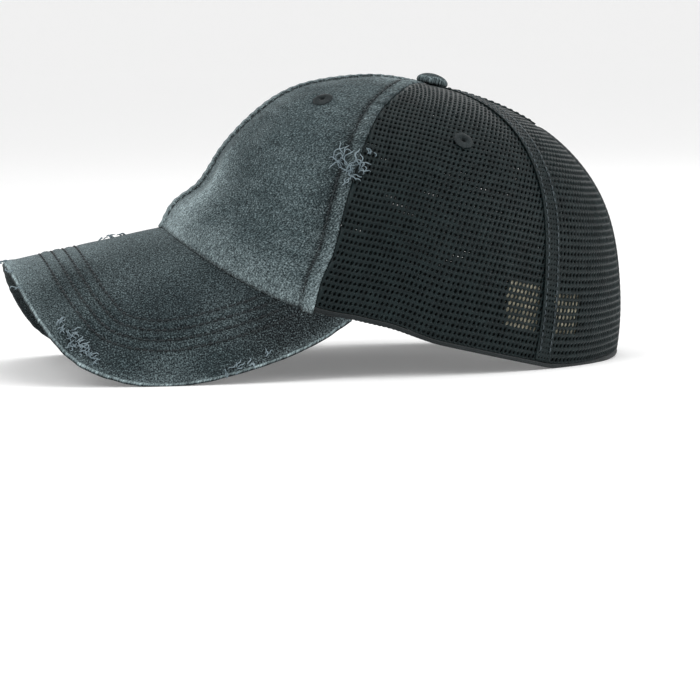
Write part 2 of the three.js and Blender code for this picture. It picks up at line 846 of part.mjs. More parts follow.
['visor', 'rear_panel_left', 'rear_panel_right'].forEach((name) => {
  pieces[name][0] = cut(pieces[name][0], floorBlock());
});

const cap = new THREE.Group();

function add(name, geometry, look) {
  const mesh = new THREE.Mesh(geometry, new THREE.MeshStandardMaterial({ ...look, metalness: 0 }));
  mesh.name = name;
  cap.add(mesh);
  return mesh;
}

Object.entries(pieces).forEach(([name, [geometry, look]]) => add(name, geometry, look));

const eyelets = {
  front_eyelet_left: [frontLeft.place, COTTON_WALL],
  front_eyelet_right: [frontRight.place, COTTON_WALL],
  side_eyelet_left: [sideLeft.place, MESH_WALL],
  side_eyelet_right: [sideRight.place, MESH_WALL],
};
Object.entries(eyelets).forEach(([name, [place, wallThickness]]) => {
  const ring = add(name, eyelet(wallThickness), DARK_TRIM);
  ring.position.copy(place.position);
  ring.quaternion.copy(place.turn);
});

cap.rotation.x = -tip;
cap.position.z = -floor;
cap.updateMatrixWorld(true);
const box = new THREE.Box3().setFromObject(cap, true);
cap.position.y = -(box.min.y + box.max.y) / 2;

export default cap;
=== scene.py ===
"""Ponytail baseball cap: washed cotton front and peak, knitted mesh behind, at rest on a floor."""
import math

import bpy
import numpy as np
from mathutils import Matrix, Vector


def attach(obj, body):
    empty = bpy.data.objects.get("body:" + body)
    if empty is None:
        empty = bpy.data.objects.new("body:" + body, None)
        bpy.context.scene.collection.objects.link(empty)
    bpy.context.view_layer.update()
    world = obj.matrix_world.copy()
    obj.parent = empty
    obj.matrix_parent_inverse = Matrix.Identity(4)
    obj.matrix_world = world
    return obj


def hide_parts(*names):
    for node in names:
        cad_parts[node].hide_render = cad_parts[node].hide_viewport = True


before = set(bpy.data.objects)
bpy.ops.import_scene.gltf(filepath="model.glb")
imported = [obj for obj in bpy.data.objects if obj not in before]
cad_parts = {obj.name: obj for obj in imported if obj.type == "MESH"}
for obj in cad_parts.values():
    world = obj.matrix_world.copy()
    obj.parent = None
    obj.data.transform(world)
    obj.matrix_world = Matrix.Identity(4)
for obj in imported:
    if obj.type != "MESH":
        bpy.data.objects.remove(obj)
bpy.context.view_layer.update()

# Sizes below are in millimetres, and angles in degrees unless math.radians stands by
# them, in the cap's own frame: hem on z = 0, peak towards -Y, the wearer's left towards
# +X. to_row() tips them back onto the floor.
MM = 0.001
CROWN_FRONT = 101.5
CROWN_REAR = 105.7
CROWN_HALF_WIDTH = 83.6
CROWN_HEIGHT = 106.8
CROWN_FULLNESS = 2.42
SIDE_FULLNESS = 2.32
REAR_HEM_LIFT = 11.4
COTTON_WALL = 1.5
MESH_WALL = 1.2
FRONT_SEAM_ANGLE = 60.4
FRONT_SEAM_SWING = 5.8
REAR_SEAM_ANGLE = 125.1
REAR_SEAM_SWING = 7.4
VISOR_LENGTH = 70.4
VISOR_HALF_WIDTH = 110.0
VISOR_THICKNESS = 2.8
VISOR_TUCK = 3.0
VISOR_PITCH = math.radians(25.3)
VISOR_FRONT_HEIGHT = 20.7
VISOR_SIDE_SLOPE = 56.8
VISOR_ARCH_REACH = 100.0
VISOR_ARCH_GROWTH = 0.8
VISOR_END_ANGLE = math.radians(75.5)
HEM_LEVEL_ANGLE = 8.0
HEM_BLEND_ANGLE = 14.0
SLIT_TOP = 110.0
SLIT_HALF_WIDTH = 15.0
SLIT_HALF_WIDTH_AT_HEM = 10.0
BINDING_WIDTH = 4.0
BINDING_CLEARANCE = 0.5
STRAP_WIDTH = 18.0
STRAP_THICKNESS = 1.2
STRAP_SEWN_LENGTH = 32.0
STRAP_FREE_LENGTH = 44.0
STRAP_ABOVE_HEM = 4.0
TAB_THICKNESS = 0.8
TAB_MARGIN = 2.0
BINDING_THICKNESS = 2.6
BINDING_GRIP = 0.65
TAPE_WIDTH = 8.0
TAPE_THICKNESS = 0.8
TAPE_DEPTH = 1.5
SWEATBAND_HEIGHT = 28.0
SWEATBAND_THICKNESS = 1.5
SWEATBAND_DEPTH = 4.0
PATCH_WIDTH = 42.0
PATCH_HEIGHT = 20.0
PATCH_THICKNESS = 0.9
PATCH_ABOVE_HEM = 14.0
PATCH_OFF_SEAM = -1.0
PATCH_DEPTH = 2.6
BUTTON_RADIUS = 6.9
BUTTON_HEIGHT = 4.8
TIP_RADIUS = 3.4

# Ventilation holes: angle from the centre front, share of the way up
EYELETS = {"front": (33.4, 0.573), "side": (96.8, 0.557)}

# Where the cap's own frame stands on the floor
REST_TIP = math.radians(14.291)
REST_SHIFT = np.array([0.0, 26.171, 16.123])
FLOOR_GAP = 0.0001

# Crown profiles: share of the way up, share of the full reach there
FRONT_PROFILE = np.array([
    (0.0, 1.0), (0.05, 0.974), (0.12, 0.897), (0.25, 0.876),
    (0.4, 0.866), (0.6, 0.873), (0.8, 0.844), (1.0, 1.0),
])
REAR_PROFILE = np.array([
    (0.0, 1.0), (0.2, 0.967), (0.45, 0.97), (0.7, 0.978), (0.85, 1.0), (1.0, 1.0),
])

# Peak's outer edge on its flat pattern: shares of the half width and of the length
VISOR_EDGE = np.array([
    (0.0, 1.0), (0.212, 0.989), (0.422, 0.96), (0.598, 0.909), (0.76, 0.82),
    (0.875, 0.67), (0.965, 0.42), (1.003, 0.118), (0.995, -0.28), (0.955, -0.62),
])

# Detail sizes
SEAM_STRIP = 6.0
SEAM_RISE = 0.5
CENTRE_RIDGE = 4.0
HOLE_PITCH = 2.16
ROW_PITCH = 2.9
HOLE_WIDTH = 1.56
HOLE_HEIGHT = 2.16
ROW_SKEW = 0.3
INNER_RING = 0.22
INNER_RING_AT_PATCH = 0.98
NET_VENT_RADIUS = 2.5
CLOTH_VENT_RADIUS = 2.9
SEAT_GAP = 0.35
STITCH_LENGTH = 2.5
STITCH_PITCH = 3.1
VISOR_ROWS = (16.2, 21.4, 26.6, 31.8)

# Camera: where it looks from, in the cap's own frame, and where the cap's middle sits in
# the picture, in pixels of the 700 pixel square frame
CAMERA_AZIMUTH = math.radians(10.4)
CAMERA_ELEVATION = math.radians(0.8)
CAMERA_ROLL = math.radians(13.02)
CAMERA_DISTANCE = 1800.0
MM_PER_PIXEL = 0.437
CAMERA_TARGET = np.array([0.0, 0.0, 45.0])
TARGET_PIXEL = (399.3, 223.3)
FRAME_PIXELS = 700
SENSOR = 36.0

# Frayed spots on the peak: cloth across, cloth forward of the crown, lean, threads, length
PEAK_FRAYS = (
    (67.5, 57.0, 200.0, 7, 4.0),
    (70.5, 55.0, 60.0, 7, 4.2),
    (74.0, 53.5, 150.0, 9, 5.0),
    (78.0, 52.5, 100.0, 9, 5.0),
    (82.0, 51.0, 160.0, 10, 5.4),
    (85.5, 49.2, 140.0, 9, 5.4),
    (80.0, 54.5, 100.0, 5, 4.4),
    (89.0, 47.3, 150.0, 6, 4.4),
    (109.5, -3.0, 130.0, 4, 4.0),
    (108.3, -8.5, 200.0, 5, 4.5),
    (107.0, -14.5, 170.0, 4, 4.0),
    (106.0, -22.5, 200.0, 4, 4.0),
    (-3.0, 16.0, 20.0, 4, 4.5),
    (-4.0, 21.0, -20.0, 5, 5.5),
    (-3.0, 27.0, 170.0, 3, 4.5),
    (-12.0, 69.0, 20.0, 6, 3.6),
    (2.0, 69.8, -30.0, 5, 3.6),
    (20.0, 69.0, 40.0, 5, 3.6),
    (38.0, 68.4, 20.0, 4, 3.6),
)

# Threads torn away there: cloth across, cloth forward, radius of the dark spot
TORN_SPOTS = ((75.5, 54.0, 2.4), (83.0, 50.5, 2.8), (87.5, 47.5, 2.0), (107.5, -7.5, 1.6))

# Frayed spots on the seam: angle, share of the way up, lean, threads, length
SEAM_FRAYS = (
    (56.5, 0.365, 195.0, 5, 8.5),
    (58.5, 0.345, 215.0, 6, 8.0),
    (60.5, 0.33, 170.0, 7, 8.5),
    (61.5, 0.322, 60.0, 6, 7.0),
    (62.0, 0.372, 165.0, 5, 7.0),
    (63.5, 0.35, 150.0, 5, 6.5),
    (65.0, 0.42, 160.0, 5, 3.6),
)

rng = np.random.default_rng(7)


def hermite(table, at):
    """Smooth curve through a table's rows, read at many places."""
    key, value = table[:, 0], table[:, 1]
    low = np.r_[0, np.arange(len(key) - 1)]
    high = np.r_[np.arange(1, len(key)), len(key) - 1]
    slope = (value[high] - value[low]) / (key[high] - key[low])
    at = np.clip(at, key[0], key[-1])
    i = np.clip(np.searchsorted(key, at, side="right") - 1, 0, len(key) - 2)
    span = key[i + 1] - key[i]
    s = (at - key[i]) / span
    return ((2 * s**3 - 3 * s**2 + 1) * value[i] + (s**3 - 2 * s**2 + s) * slope[i] * span
            + (3 * s**2 - 2 * s**3) * value[i + 1] + (s**3 - s**2) * slope[i + 1] * span)


def smooth(x, low, high):
    s = np.clip((x - low) / (high - low), 0, 1)
    return s * s * (3 - 2 * s)


def sided(name, side):
    return name + ("_left" if side > 0 else "_right")


def arch_slope(along):
    share = np.abs(along) / VISOR_ARCH_REACH
    return np.minimum(np.radians(VISOR_SIDE_SLOPE) * share**VISOR_ARCH_GROWTH, 1.5)


ARCH_ALONG = np.linspace(0, 1.25 * VISOR_HALF_WIDTH, 161)
ARCH_MIDDLE = arch_slope((ARCH_ALONG[1:] + ARCH_ALONG[:-1]) / 2)
ARCH_SIDEWAYS = np.r_[0, np.cumsum(np.diff(ARCH_ALONG) * np.cos(ARCH_MIDDLE))]
ARCH_DROP = np.r_[0, np.cumsum(np.diff(ARCH_ALONG) * np.sin(ARCH_MIDDLE))]


def visor_height(x, y):
    drop = np.interp(np.abs(x), ARCH_SIDEWAYS, ARCH_DROP)
    slope = math.tan(VISOR_PITCH)
    return VISOR_FRONT_HEIGHT + slope * (CROWN_FRONT + y) - drop / math.cos(VISOR_PITCH)


def seat_height(x, y):
    """Height of the hem: on the peak in front, level at the sides, lifted at the back."""
    reach = np.where(y < 0, CROWN_FRONT, CROWN_REAR)
    angle = np.arctan2(np.abs(x) / CROWN_HALF_WIDTH, -y / reach)
    share = np.hypot(x / CROWN_HALF_WIDTH, y / reach)
    end = visor_height(share * CROWN_HALF_WIDTH * math.sin(VISOR_END_ANGLE),
                       -share * CROWN_FRONT * math.cos(VISOR_END_ANGLE))
    fade = 1 - smooth(np.degrees(angle - VISOR_END_ANGLE), HEM_LEVEL_ANGLE,
                      HEM_LEVEL_ANGLE + HEM_BLEND_ANGLE)
    back = np.maximum((-np.cos(angle) - 0.6) / 0.4, 0)
    rest = end * fade + REAR_HEM_LIFT * back**1.5
    return np.where(angle <= VISOR_END_ANGLE, visor_height(x, y), rest)


def crown(angle, up):
    """Points on the crown's outer face: angle from the centre front, share of the way up."""
    angle, up = np.broadcast_arrays(np.asarray(angle, float), np.asarray(up, float))
    turn = np.clip(up, 0, 1) * math.pi / 2
    reach = np.cos(turn) ** (2 / CROWN_FULLNESS)
    side = np.cos(turn) ** (2 / SIDE_FULLNESS)
    rise = np.sin(turn) ** (2 / CROWN_FULLNESS)
    front = np.cos(angle) > 0
    length = np.where(front, CROWN_FRONT * hermite(FRONT_PROFILE, up),
                      CROWN_REAR * hermite(REAR_PROFILE, up))
    hem = seat_height(CROWN_HALF_WIDTH * np.sin(angle),
                      -np.where(front, CROWN_FRONT, CROWN_REAR) * np.cos(angle))
    return np.stack([CROWN_HALF_WIDTH * np.sin(angle) * side,
                     -length * np.cos(angle) * reach,
                     CROWN_HEIGHT * rise + hem * (1 - up) ** 2], -1)


def crown_normal(angle, up):
    step = 0.002
    across = crown(angle + step, up) - crown(angle - step, up)
    along = crown(angle, np.minimum(up + step, 1)) - crown(angle, np.maximum(up - step, 0))
    normal = np.cross(across, along)
    return normal / np.linalg.norm(normal, axis=-1, keepdims=True)


def layer(angle, up, depth):
    return crown(angle, up) - crown_normal(angle, up) * np.asarray(depth)[..., None]


def girth(angle, up):
    step = 0.01
    gap = crown(angle + step, up) - crown(angle - step, up)
    return np.linalg.norm(gap, axis=-1) / (2 * step)


RISE_UP = np.linspace(0, 1, 241)


def rise_table(angle):
    gaps = np.linalg.norm(np.diff(crown(angle, RISE_UP), axis=0), axis=-1)
    return np.r_[0, np.cumsum(gaps)]


REAR_LENGTH = rise_table(math.pi)
SEAM_LENGTH = rise_table(math.radians(REAR_SEAM_ANGLE))
TIP_UP = math.acos((TIP_RADIUS / CROWN_HALF_WIDTH) ** (SIDE_FULLNESS / 2)) / (math.pi / 2)


def front_seam(up):
    return np.radians(FRONT_SEAM_ANGLE + FRONT_SEAM_SWING * (1 - up) ** 2)


def rear_seam(up):
    return np.radians(REAR_SEAM_ANGLE + REAR_SEAM_SWING * up**2)


def slit_half_width(length):
    share = np.minimum(length / SLIT_TOP, 1)
    opened = np.sin(np.minimum(share / 0.6, 1) * math.pi / 2) ** 2
    widest = SLIT_HALF_WIDTH_AT_HEM + (SLIT_HALF_WIDTH - SLIT_HALF_WIDTH_AT_HEM) * opened
    return widest * np.sqrt(1 - share**6)


def back_edge(up):
    """Angle where the rear panel ends, at the opening's edge or the centre back."""
    length = np.interp(up, RISE_UP, REAR_LENGTH)
    open_half = np.where(length < SLIT_TOP, slit_half_width(length), 0.0)
    return math.pi - (open_half + 0.2) / girth(math.pi, up)


def to_row(points):
    """From the cap's own frame in millimetres to the row frame in metres."""
    x, y, z = np.moveaxis(np.asarray(points, float), -1, 0)
    c, s = math.cos(REST_TIP), math.sin(REST_TIP)
    turned = np.stack([x, y * c + z * s, z * c - y * s], -1)
    return (turned + REST_SHIFT) * MM


def ripple(u, v, wave, seed, count=7):
    """Soft random relief between -1 and 1, from a few plane waves."""
    draws = np.random.default_rng(seed)
    total = np.zeros(np.broadcast(u, v).shape)
    for _ in range(count):
        heading = draws.uniform(0, math.pi)
        size = wave * draws.uniform(0.6, 1.6)
        phase = draws.uniform(0, 2 * math.pi)
        total += np.sin((u * math.cos(heading) + v * math.sin(heading)) * 2 * math.pi / size + phase)
    return total / count * 1.6


def make_mesh(name, points, faces, uv=None, marks=None):
    """Object from points in the cap's own frame, with cloth coordinates in metres."""
    mesh = bpy.data.meshes.new(name)
    placed = to_row(points)
    placed[:, 2] = np.maximum(placed[:, 2], FLOOR_GAP)
    mesh.from_pydata(placed.tolist(), [], [tuple(int(i) for i in face) for face in faces])
    if uv is not None:
        layer_uv = mesh.uv_layers.new(name="cloth")
        corner = np.zeros(len(mesh.loops), dtype=np.int32)
        mesh.loops.foreach_get("vertex_index", corner)
        layer_uv.data.foreach_set("uv", (np.asarray(uv)[corner] * MM).ravel())
    for key, values in (marks or {}).items():
        attribute = mesh.attributes.new(key, "FLOAT", "POINT")
        attribute.data.foreach_set("value", np.asarray(values, float).ravel())
    mesh.polygons.foreach_set("use_smooth", [True] * len(mesh.polygons))
    mesh.validate()
    mesh.update()
    piece = bpy.data.objects.new(name, mesh)
    bpy.context.scene.collection.objects.link(piece)
    return piece


def sheet_faces(rows, columns):
    """Faces of a closed wall between an outer and an inner net of the same size."""
    count = rows * columns
    a = (np.arange(rows - 1)[:, None] * columns + np.arange(columns - 1)).ravel()
    outer = np.stack([a, a + 1, a + 1 + columns, a + columns], -1)
    inner = np.stack([a, a + columns, a + columns + 1, a + 1], -1) + count
    left = np.arange(rows - 1) * columns
    right = left + columns - 1
    low = np.arange(columns - 1)
    high = low + (rows - 1) * columns
    rims = [
        np.stack([left, left + columns, left + columns + count, left + count], -1),
        np.stack([right, right + count, right + columns + count, right + columns], -1),
        np.stack([low, low + count, low + 1 + count, low + 1], -1),
        np.stack([high, high + 1, high + 1 + count, high + count], -1),
    ]
    return np.concatenate([outer, inner] + rims)


def pierced(faces, points, centre, radius):
    """Faces of a wall without those near a place, and strips round the hole they leave."""
    near = np.linalg.norm(points - centre, axis=1) < radius
    gone = near[faces].all(axis=1)
    kept, half = faces[~gone], len(points) // 2
    edges = set()
    for face in faces[gone]:
        if (face < half).all():
            edges.update(zip(face.tolist(), np.roll(face, -1).tolist()))
    rim = [(a, b, b + half, a + half) for a, b in edges if (b, a) not in edges]
    return np.concatenate([kept, np.array(rim)]) if rim else kept


def wall(name, outer, inner, uv, marks=None, flip=False, hole=None):
    rows, columns = outer.shape[:2]
    faces = sheet_faces(rows, columns)
    points = np.concatenate([outer.reshape(-1, 3), inner.reshape(-1, 3)])
    if hole is not None:
        faces = pierced(faces, points, *hole)
    if flip:
        faces = faces[:, ::-1]
    both = {key: np.concatenate([value.ravel()] * 2) for key, value in (marks or {}).items()}
    flat = uv.reshape(-1, 2)
    return make_mesh(name, points, faces, np.concatenate([flat, flat]), both)


def crown_cloth(name, angles, ups, depth, thickness, uv, marks=None, seated=False, side=1,
                hole=None):
    """A wall of cloth on nets of angles and shares of the way up."""
    outer = layer(angles, ups, depth)
    inner = layer(angles, ups, depth + thickness)
    if seated:
        for face in (outer, inner):
            face[0, :, 2] = seat_height(face[0, :, 0], face[0, :, 1]) + SEAT_GAP
    outer[..., 0] *= side
    inner[..., 0] *= side
    if hole is not None:
        centre = crown(*hole)
        centre[0] *= side
        hole = (centre, CLOTH_VENT_RADIUS)
    return wall(name, outer, inner, uv, marks, flip=side < 0, hole=hole)


def finish_piece(piece, material, slot, *nodes):
    piece.data.materials.append(material)
    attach(piece, "root")
    if nodes:
        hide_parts(*nodes)
    return piece


# Materials

def new_material(name):
    material = bpy.data.materials.new(name)
    material.use_nodes = True
    tree = material.node_tree
    return material, tree, tree.nodes["Principled BSDF"]


def node(tree, kind, **settings):
    made = tree.nodes.new(kind)
    for key, value in settings.items():
        if key in made.inputs:
            made.inputs[key].default_value = value
        else:
            setattr(made, key, value)
    return made


def ramp(tree, source, stops):
    made = node(tree, "ShaderNodeValToRGB")
    elements = made.color_ramp.elements
    while len(elements) < len(stops):
        elements.new(0.5)
    for element, (place, colour) in zip(elements, stops):
        element.position = place
        element.color = (*colour, 1)
    tree.links.new(source, made.inputs["Fac"])
    return made.outputs["Color"]


def mix(tree, kind, factor, first, second):
    made = node(tree, "ShaderNodeMix", data_type="RGBA", blend_type=kind)
    for socket, value in ((made.inputs[0], factor), (made.inputs[6], first), (made.inputs[7], second)):
        if hasattr(value, "links"):
            tree.links.new(value, socket)
        elif isinstance(value, tuple):
            socket.default_value = (*value, 1)
        else:
            socket.default_value = value
    return made.outputs[2]


def math_node(tree, operation, *values):
    made = node(tree, "ShaderNodeMath", operation=operation)
    for socket, value in zip(made.inputs, values):
        if hasattr(value, "links"):
            tree.links.new(value, socket)
        else:
            socket.default_value = value
    return made.outputs[0]


def bump(tree, shader, height, strength, distance):
    made = node(tree, "ShaderNodeBump", Strength=strength, Distance=distance)
    tree.links.new(height, made.inputs["Height"])
    tree.links.new(made.outputs["Normal"], shader.inputs["Normal"])


def noise(tree, vector, scale, detail=4.0, roughness=0.6):
    made = node(tree, "ShaderNodeTexNoise", Scale=scale, Detail=detail, Roughness=roughness)
    tree.links.new(vector, made.inputs["Vector"])
    return made.outputs["Fac"]


def twill_material(name, dark, light, worn):
    """Washed cotton twill: slanting ribs, mottled dye, paler where the wear mark is high (worn
    frosting, and on the front panels also a painted highlight along the waist fold), and darkened by
    painted shade where the shade mark is high.
    """
    material, tree, shader = new_material(name)
    uv = node(tree, "ShaderNodeUVMap", uv_map="cloth").outputs[0]
    wear = node(tree, "ShaderNodeAttribute", attribute_name="wear").outputs["Fac"]
    shade = node(tree, "ShaderNodeAttribute", attribute_name="shade").outputs["Fac"]
    ribs = node(tree, "ShaderNodeTexWave", wave_type="BANDS", bands_direction="DIAGONAL",
                Scale=390.0, Distortion=1.6, Detail=1.0)
    ribs.inputs["Detail Scale"].default_value = 2.0
    tree.links.new(uv, ribs.inputs["Vector"])
    stretch = node(tree, "ShaderNodeMapping")
    stretch.inputs["Scale"].default_value = (1.0, 0.35, 1.0)
    tree.links.new(uv, stretch.inputs["Vector"])
    grain = noise(tree, uv, 1500.0, 2.0, 0.7)
    slub = noise(tree, stretch.outputs[0], 1000.0, 3.0)
    cloud = noise(tree, uv, 34.0, 5.0, 0.62)
    fade = math_node(tree, "ADD", wear, math_node(tree, "MULTIPLY_ADD", grain, 1.15, -0.575))
    base = ramp(tree, cloud, [(0.32, dark), (0.68, light)])
    speckle = ramp(tree, slub, [(0.36, (0.40, 0.42, 0.43)), (0.64, (1.60, 1.59, 1.58))])
    base = mix(tree, "MULTIPLY", 0.9, base, speckle)
    pepper = ramp(tree, grain, [(0.38, (0.34, 0.36, 0.37)), (0.62, (1.66, 1.65, 1.64))])
    base = mix(tree, "MULTIPLY", 0.9, base, pepper)
    rib_tone = ramp(tree, ribs.outputs["Fac"], [(0.1, (0.84, 0.85, 0.85)), (0.8, (1.10, 1.10, 1.10))])
    base = mix(tree, "MULTIPLY", 0.75, base, rib_tone)
    base = mix(tree, "MULTIPLY", shade, base, (0.20, 0.22, 0.23))
    clipped = math_node(tree, "MINIMUM", math_node(tree, "MAXIMUM", fade, 0.0), 1.0)
    frosted = mix(tree, "MULTIPLY", 0.7, mix(tree, "MULTIPLY", 0.7, worn, speckle), pepper)
    tree.links.new(mix(tree, "MIX", clipped, base, frosted), shader.inputs["Base Color"])
    height = math_node(tree, "ADD", ribs.outputs["Fac"], math_node(tree, "MULTIPLY", grain, 0.9))
    bump(tree, shader, height, 0.55, 0.00022)
    shader.inputs["Roughness"].default_value = 0.88
    shader.inputs["Sheen Weight"].default_value = 0.05
    shader.inputs["Sheen Roughness"].default_value = 0.45
    shader.inputs["Specular IOR Level"].default_value = 0.10
    return material


def thread_material(name, colour, bright, scale=900.0, rough=0.62, sheen=0.1, gloss=0.25):
    """Spun thread: fine slanting twist and uneven dye, in object coordinates, painted nearly black as
    shade where the shade mark is high.
    """
    material, tree, shader = new_material(name)
    place = node(tree, "ShaderNodeTexCoord").outputs["Object"]
    twist = node(tree, "ShaderNodeTexWave", wave_type="BANDS", bands_direction="DIAGONAL",
                 Scale=scale, Distortion=3.0, Detail=2.0)
    tree.links.new(place, twist.inputs["Vector"])
    dye = noise(tree, place, 160.0, 4.0)
    tone = ramp(tree, dye, [(0.3, colour), (0.7, bright)])
    stripes = ramp(tree, twist.outputs["Fac"], [(0.0, (0.72, 0.72, 0.72)), (1.0, (1.15, 1.15, 1.15))])
    painted_recess_shade = node(tree, "ShaderNodeAttribute", attribute_name="shade").outputs["Fac"]
    tone = mix(tree, "MULTIPLY", 0.7, tone, stripes)
    tree.links.new(mix(tree, "MIX", painted_recess_shade, tone, (0.0012, 0.002, 0.002)),
                   shader.inputs["Base Color"])
    bump(tree, shader, twist.outputs["Fac"], 0.35, 0.00012)
    shader.inputs["Roughness"].default_value = rough
    shader.inputs["Sheen Weight"].default_value = sheen
    shader.inputs["Specular IOR Level"].default_value = gloss
    return material


def weave_material(name, colour, bright, rows, contrast=0.7, rough=0.85):
    """Plain woven tape: crossing ribs in cloth coordinates, darker where the shade mark is high:
    painted shade in the sweatband's groove, darker stripes on the inner patch.
    """
    material, tree, shader = new_material(name)
    uv = node(tree, "ShaderNodeUVMap", uv_map="cloth").outputs[0]
    weft = node(tree, "ShaderNodeTexWave", wave_type="BANDS", bands_direction="Y", Scale=rows,
                Distortion=0.8, Detail=1.0)
    warp = node(tree, "ShaderNodeTexWave", wave_type="BANDS", bands_direction="X",
                Scale=rows * 1.3, Distortion=0.8, Detail=1.0)
    for wave in (weft, warp):
        tree.links.new(uv, wave.inputs["Vector"])
    cross = math_node(tree, "MULTIPLY", weft.outputs["Fac"], warp.outputs["Fac"])
    dye = noise(tree, uv, 60.0, 4.0)
    tone = ramp(tree, dye, [(0.3, colour), (0.7, bright)])
    ribs = ramp(tree, cross, [(0.0, (0.55, 0.55, 0.55)), (0.8, (1.25, 1.25, 1.25))])
    # The worn factor is the shade mark: painted shade in the sweatband's groove, darker stripes on the
    # inner patch.
    worn = node(tree, "ShaderNodeAttribute", attribute_name="shade").outputs["Fac"]
    tone = mix(tree, "MULTIPLY", contrast, tone, ribs)
    tree.links.new(mix(tree, "MULTIPLY", worn, tone, (0.35, 0.35, 0.33)),
                   shader.inputs["Base Color"])
    bump(tree, shader, cross, 0.6, 0.0003)
    shader.inputs["Roughness"].default_value = rough
    shader.inputs["Sheen Weight"].default_value = 0.15
    shader.inputs["Specular IOR Level"].default_value = 0.3
    return material


COTTON = twill_material("washed_twill", (0.0270, 0.0400, 0.0440), (0.0450, 0.0630, 0.0680),
                        (0.285, 0.352, 0.366))
COTTON_DARK = twill_material("peak_twill", (0.0105, 0.0175, 0.0200), (0.0195, 0.0300, 0.0330),
                             (0.25, 0.315, 0.33))
NET = thread_material("knitted_mesh", (0.0030, 0.0078, 0.0088), (0.0088, 0.0175, 0.0187), 700.0,
                      0.36, 0.01, 0.15)
NET_TRIM = thread_material("mesh_seam", (0.0038, 0.0086, 0.0096), (0.0105, 0.0190, 0.0202), 700.0,
                           0.45, 0.01, 0.14)
DARK_THREAD = thread_material("dark_thread", (0.006, 0.010, 0.012), (0.014, 0.021, 0.024), 1400.0)
GREY_THREAD = thread_material("grey_thread", (0.030, 0.043, 0.050), (0.07, 0.09, 0.10), 1400.0)
PALE_THREAD = thread_material("frayed_thread", (0.11, 0.155, 0.18), (0.27, 0.34, 0.375), 1400.0, 0.8)
TAPE = weave_material("dark_tape", (0.010, 0.015, 0.017), (0.020, 0.029, 0.032), 420.0)
BAND = weave_material("sweatband_twill", (0.022, 0.031, 0.036), (0.040, 0.054, 0.060), 380.0)
TAN = weave_material("tan_patch", (0.82, 0.77, 0.57), (0.92, 0.88, 0.70), 120.0, 0.4)
NET_TRIM_CLOTH = weave_material("mesh_hem", (0.006, 0.010, 0.011), (0.014, 0.020, 0.022), 480.0)
ELASTIC = weave_material("gathered_elastic", (0.008, 0.012, 0.014), (0.018, 0.026, 0.029), 520.0)
WEBBING = weave_material("strap_webbing", (0.012, 0.019, 0.022), (0.034, 0.047, 0.052), 190.0, 0.9)
EYELET_THREAD = {
    "front": thread_material("eyelet_thread", (0.010, 0.015, 0.017), (0.024, 0.034, 0.037), 1500.0),
    "side": thread_material("mesh_eyelet_thread", (0.010, 0.015, 0.017), (0.021, 0.030, 0.032),
                            1500.0),
}
HOOKS = weave_material("hook_tape", (0.010, 0.014, 0.016), (0.030, 0.040, 0.044), 300.0, 0.9, 0.7)


# Cotton front panels

def spaced(count, ease):
    """Shares from 0 to 1, closer together at both ends."""
    s = np.linspace(0, 1, count)
    return (1 - ease) * s + ease * (s - np.sin(2 * math.pi * s) / (2 * math.pi))


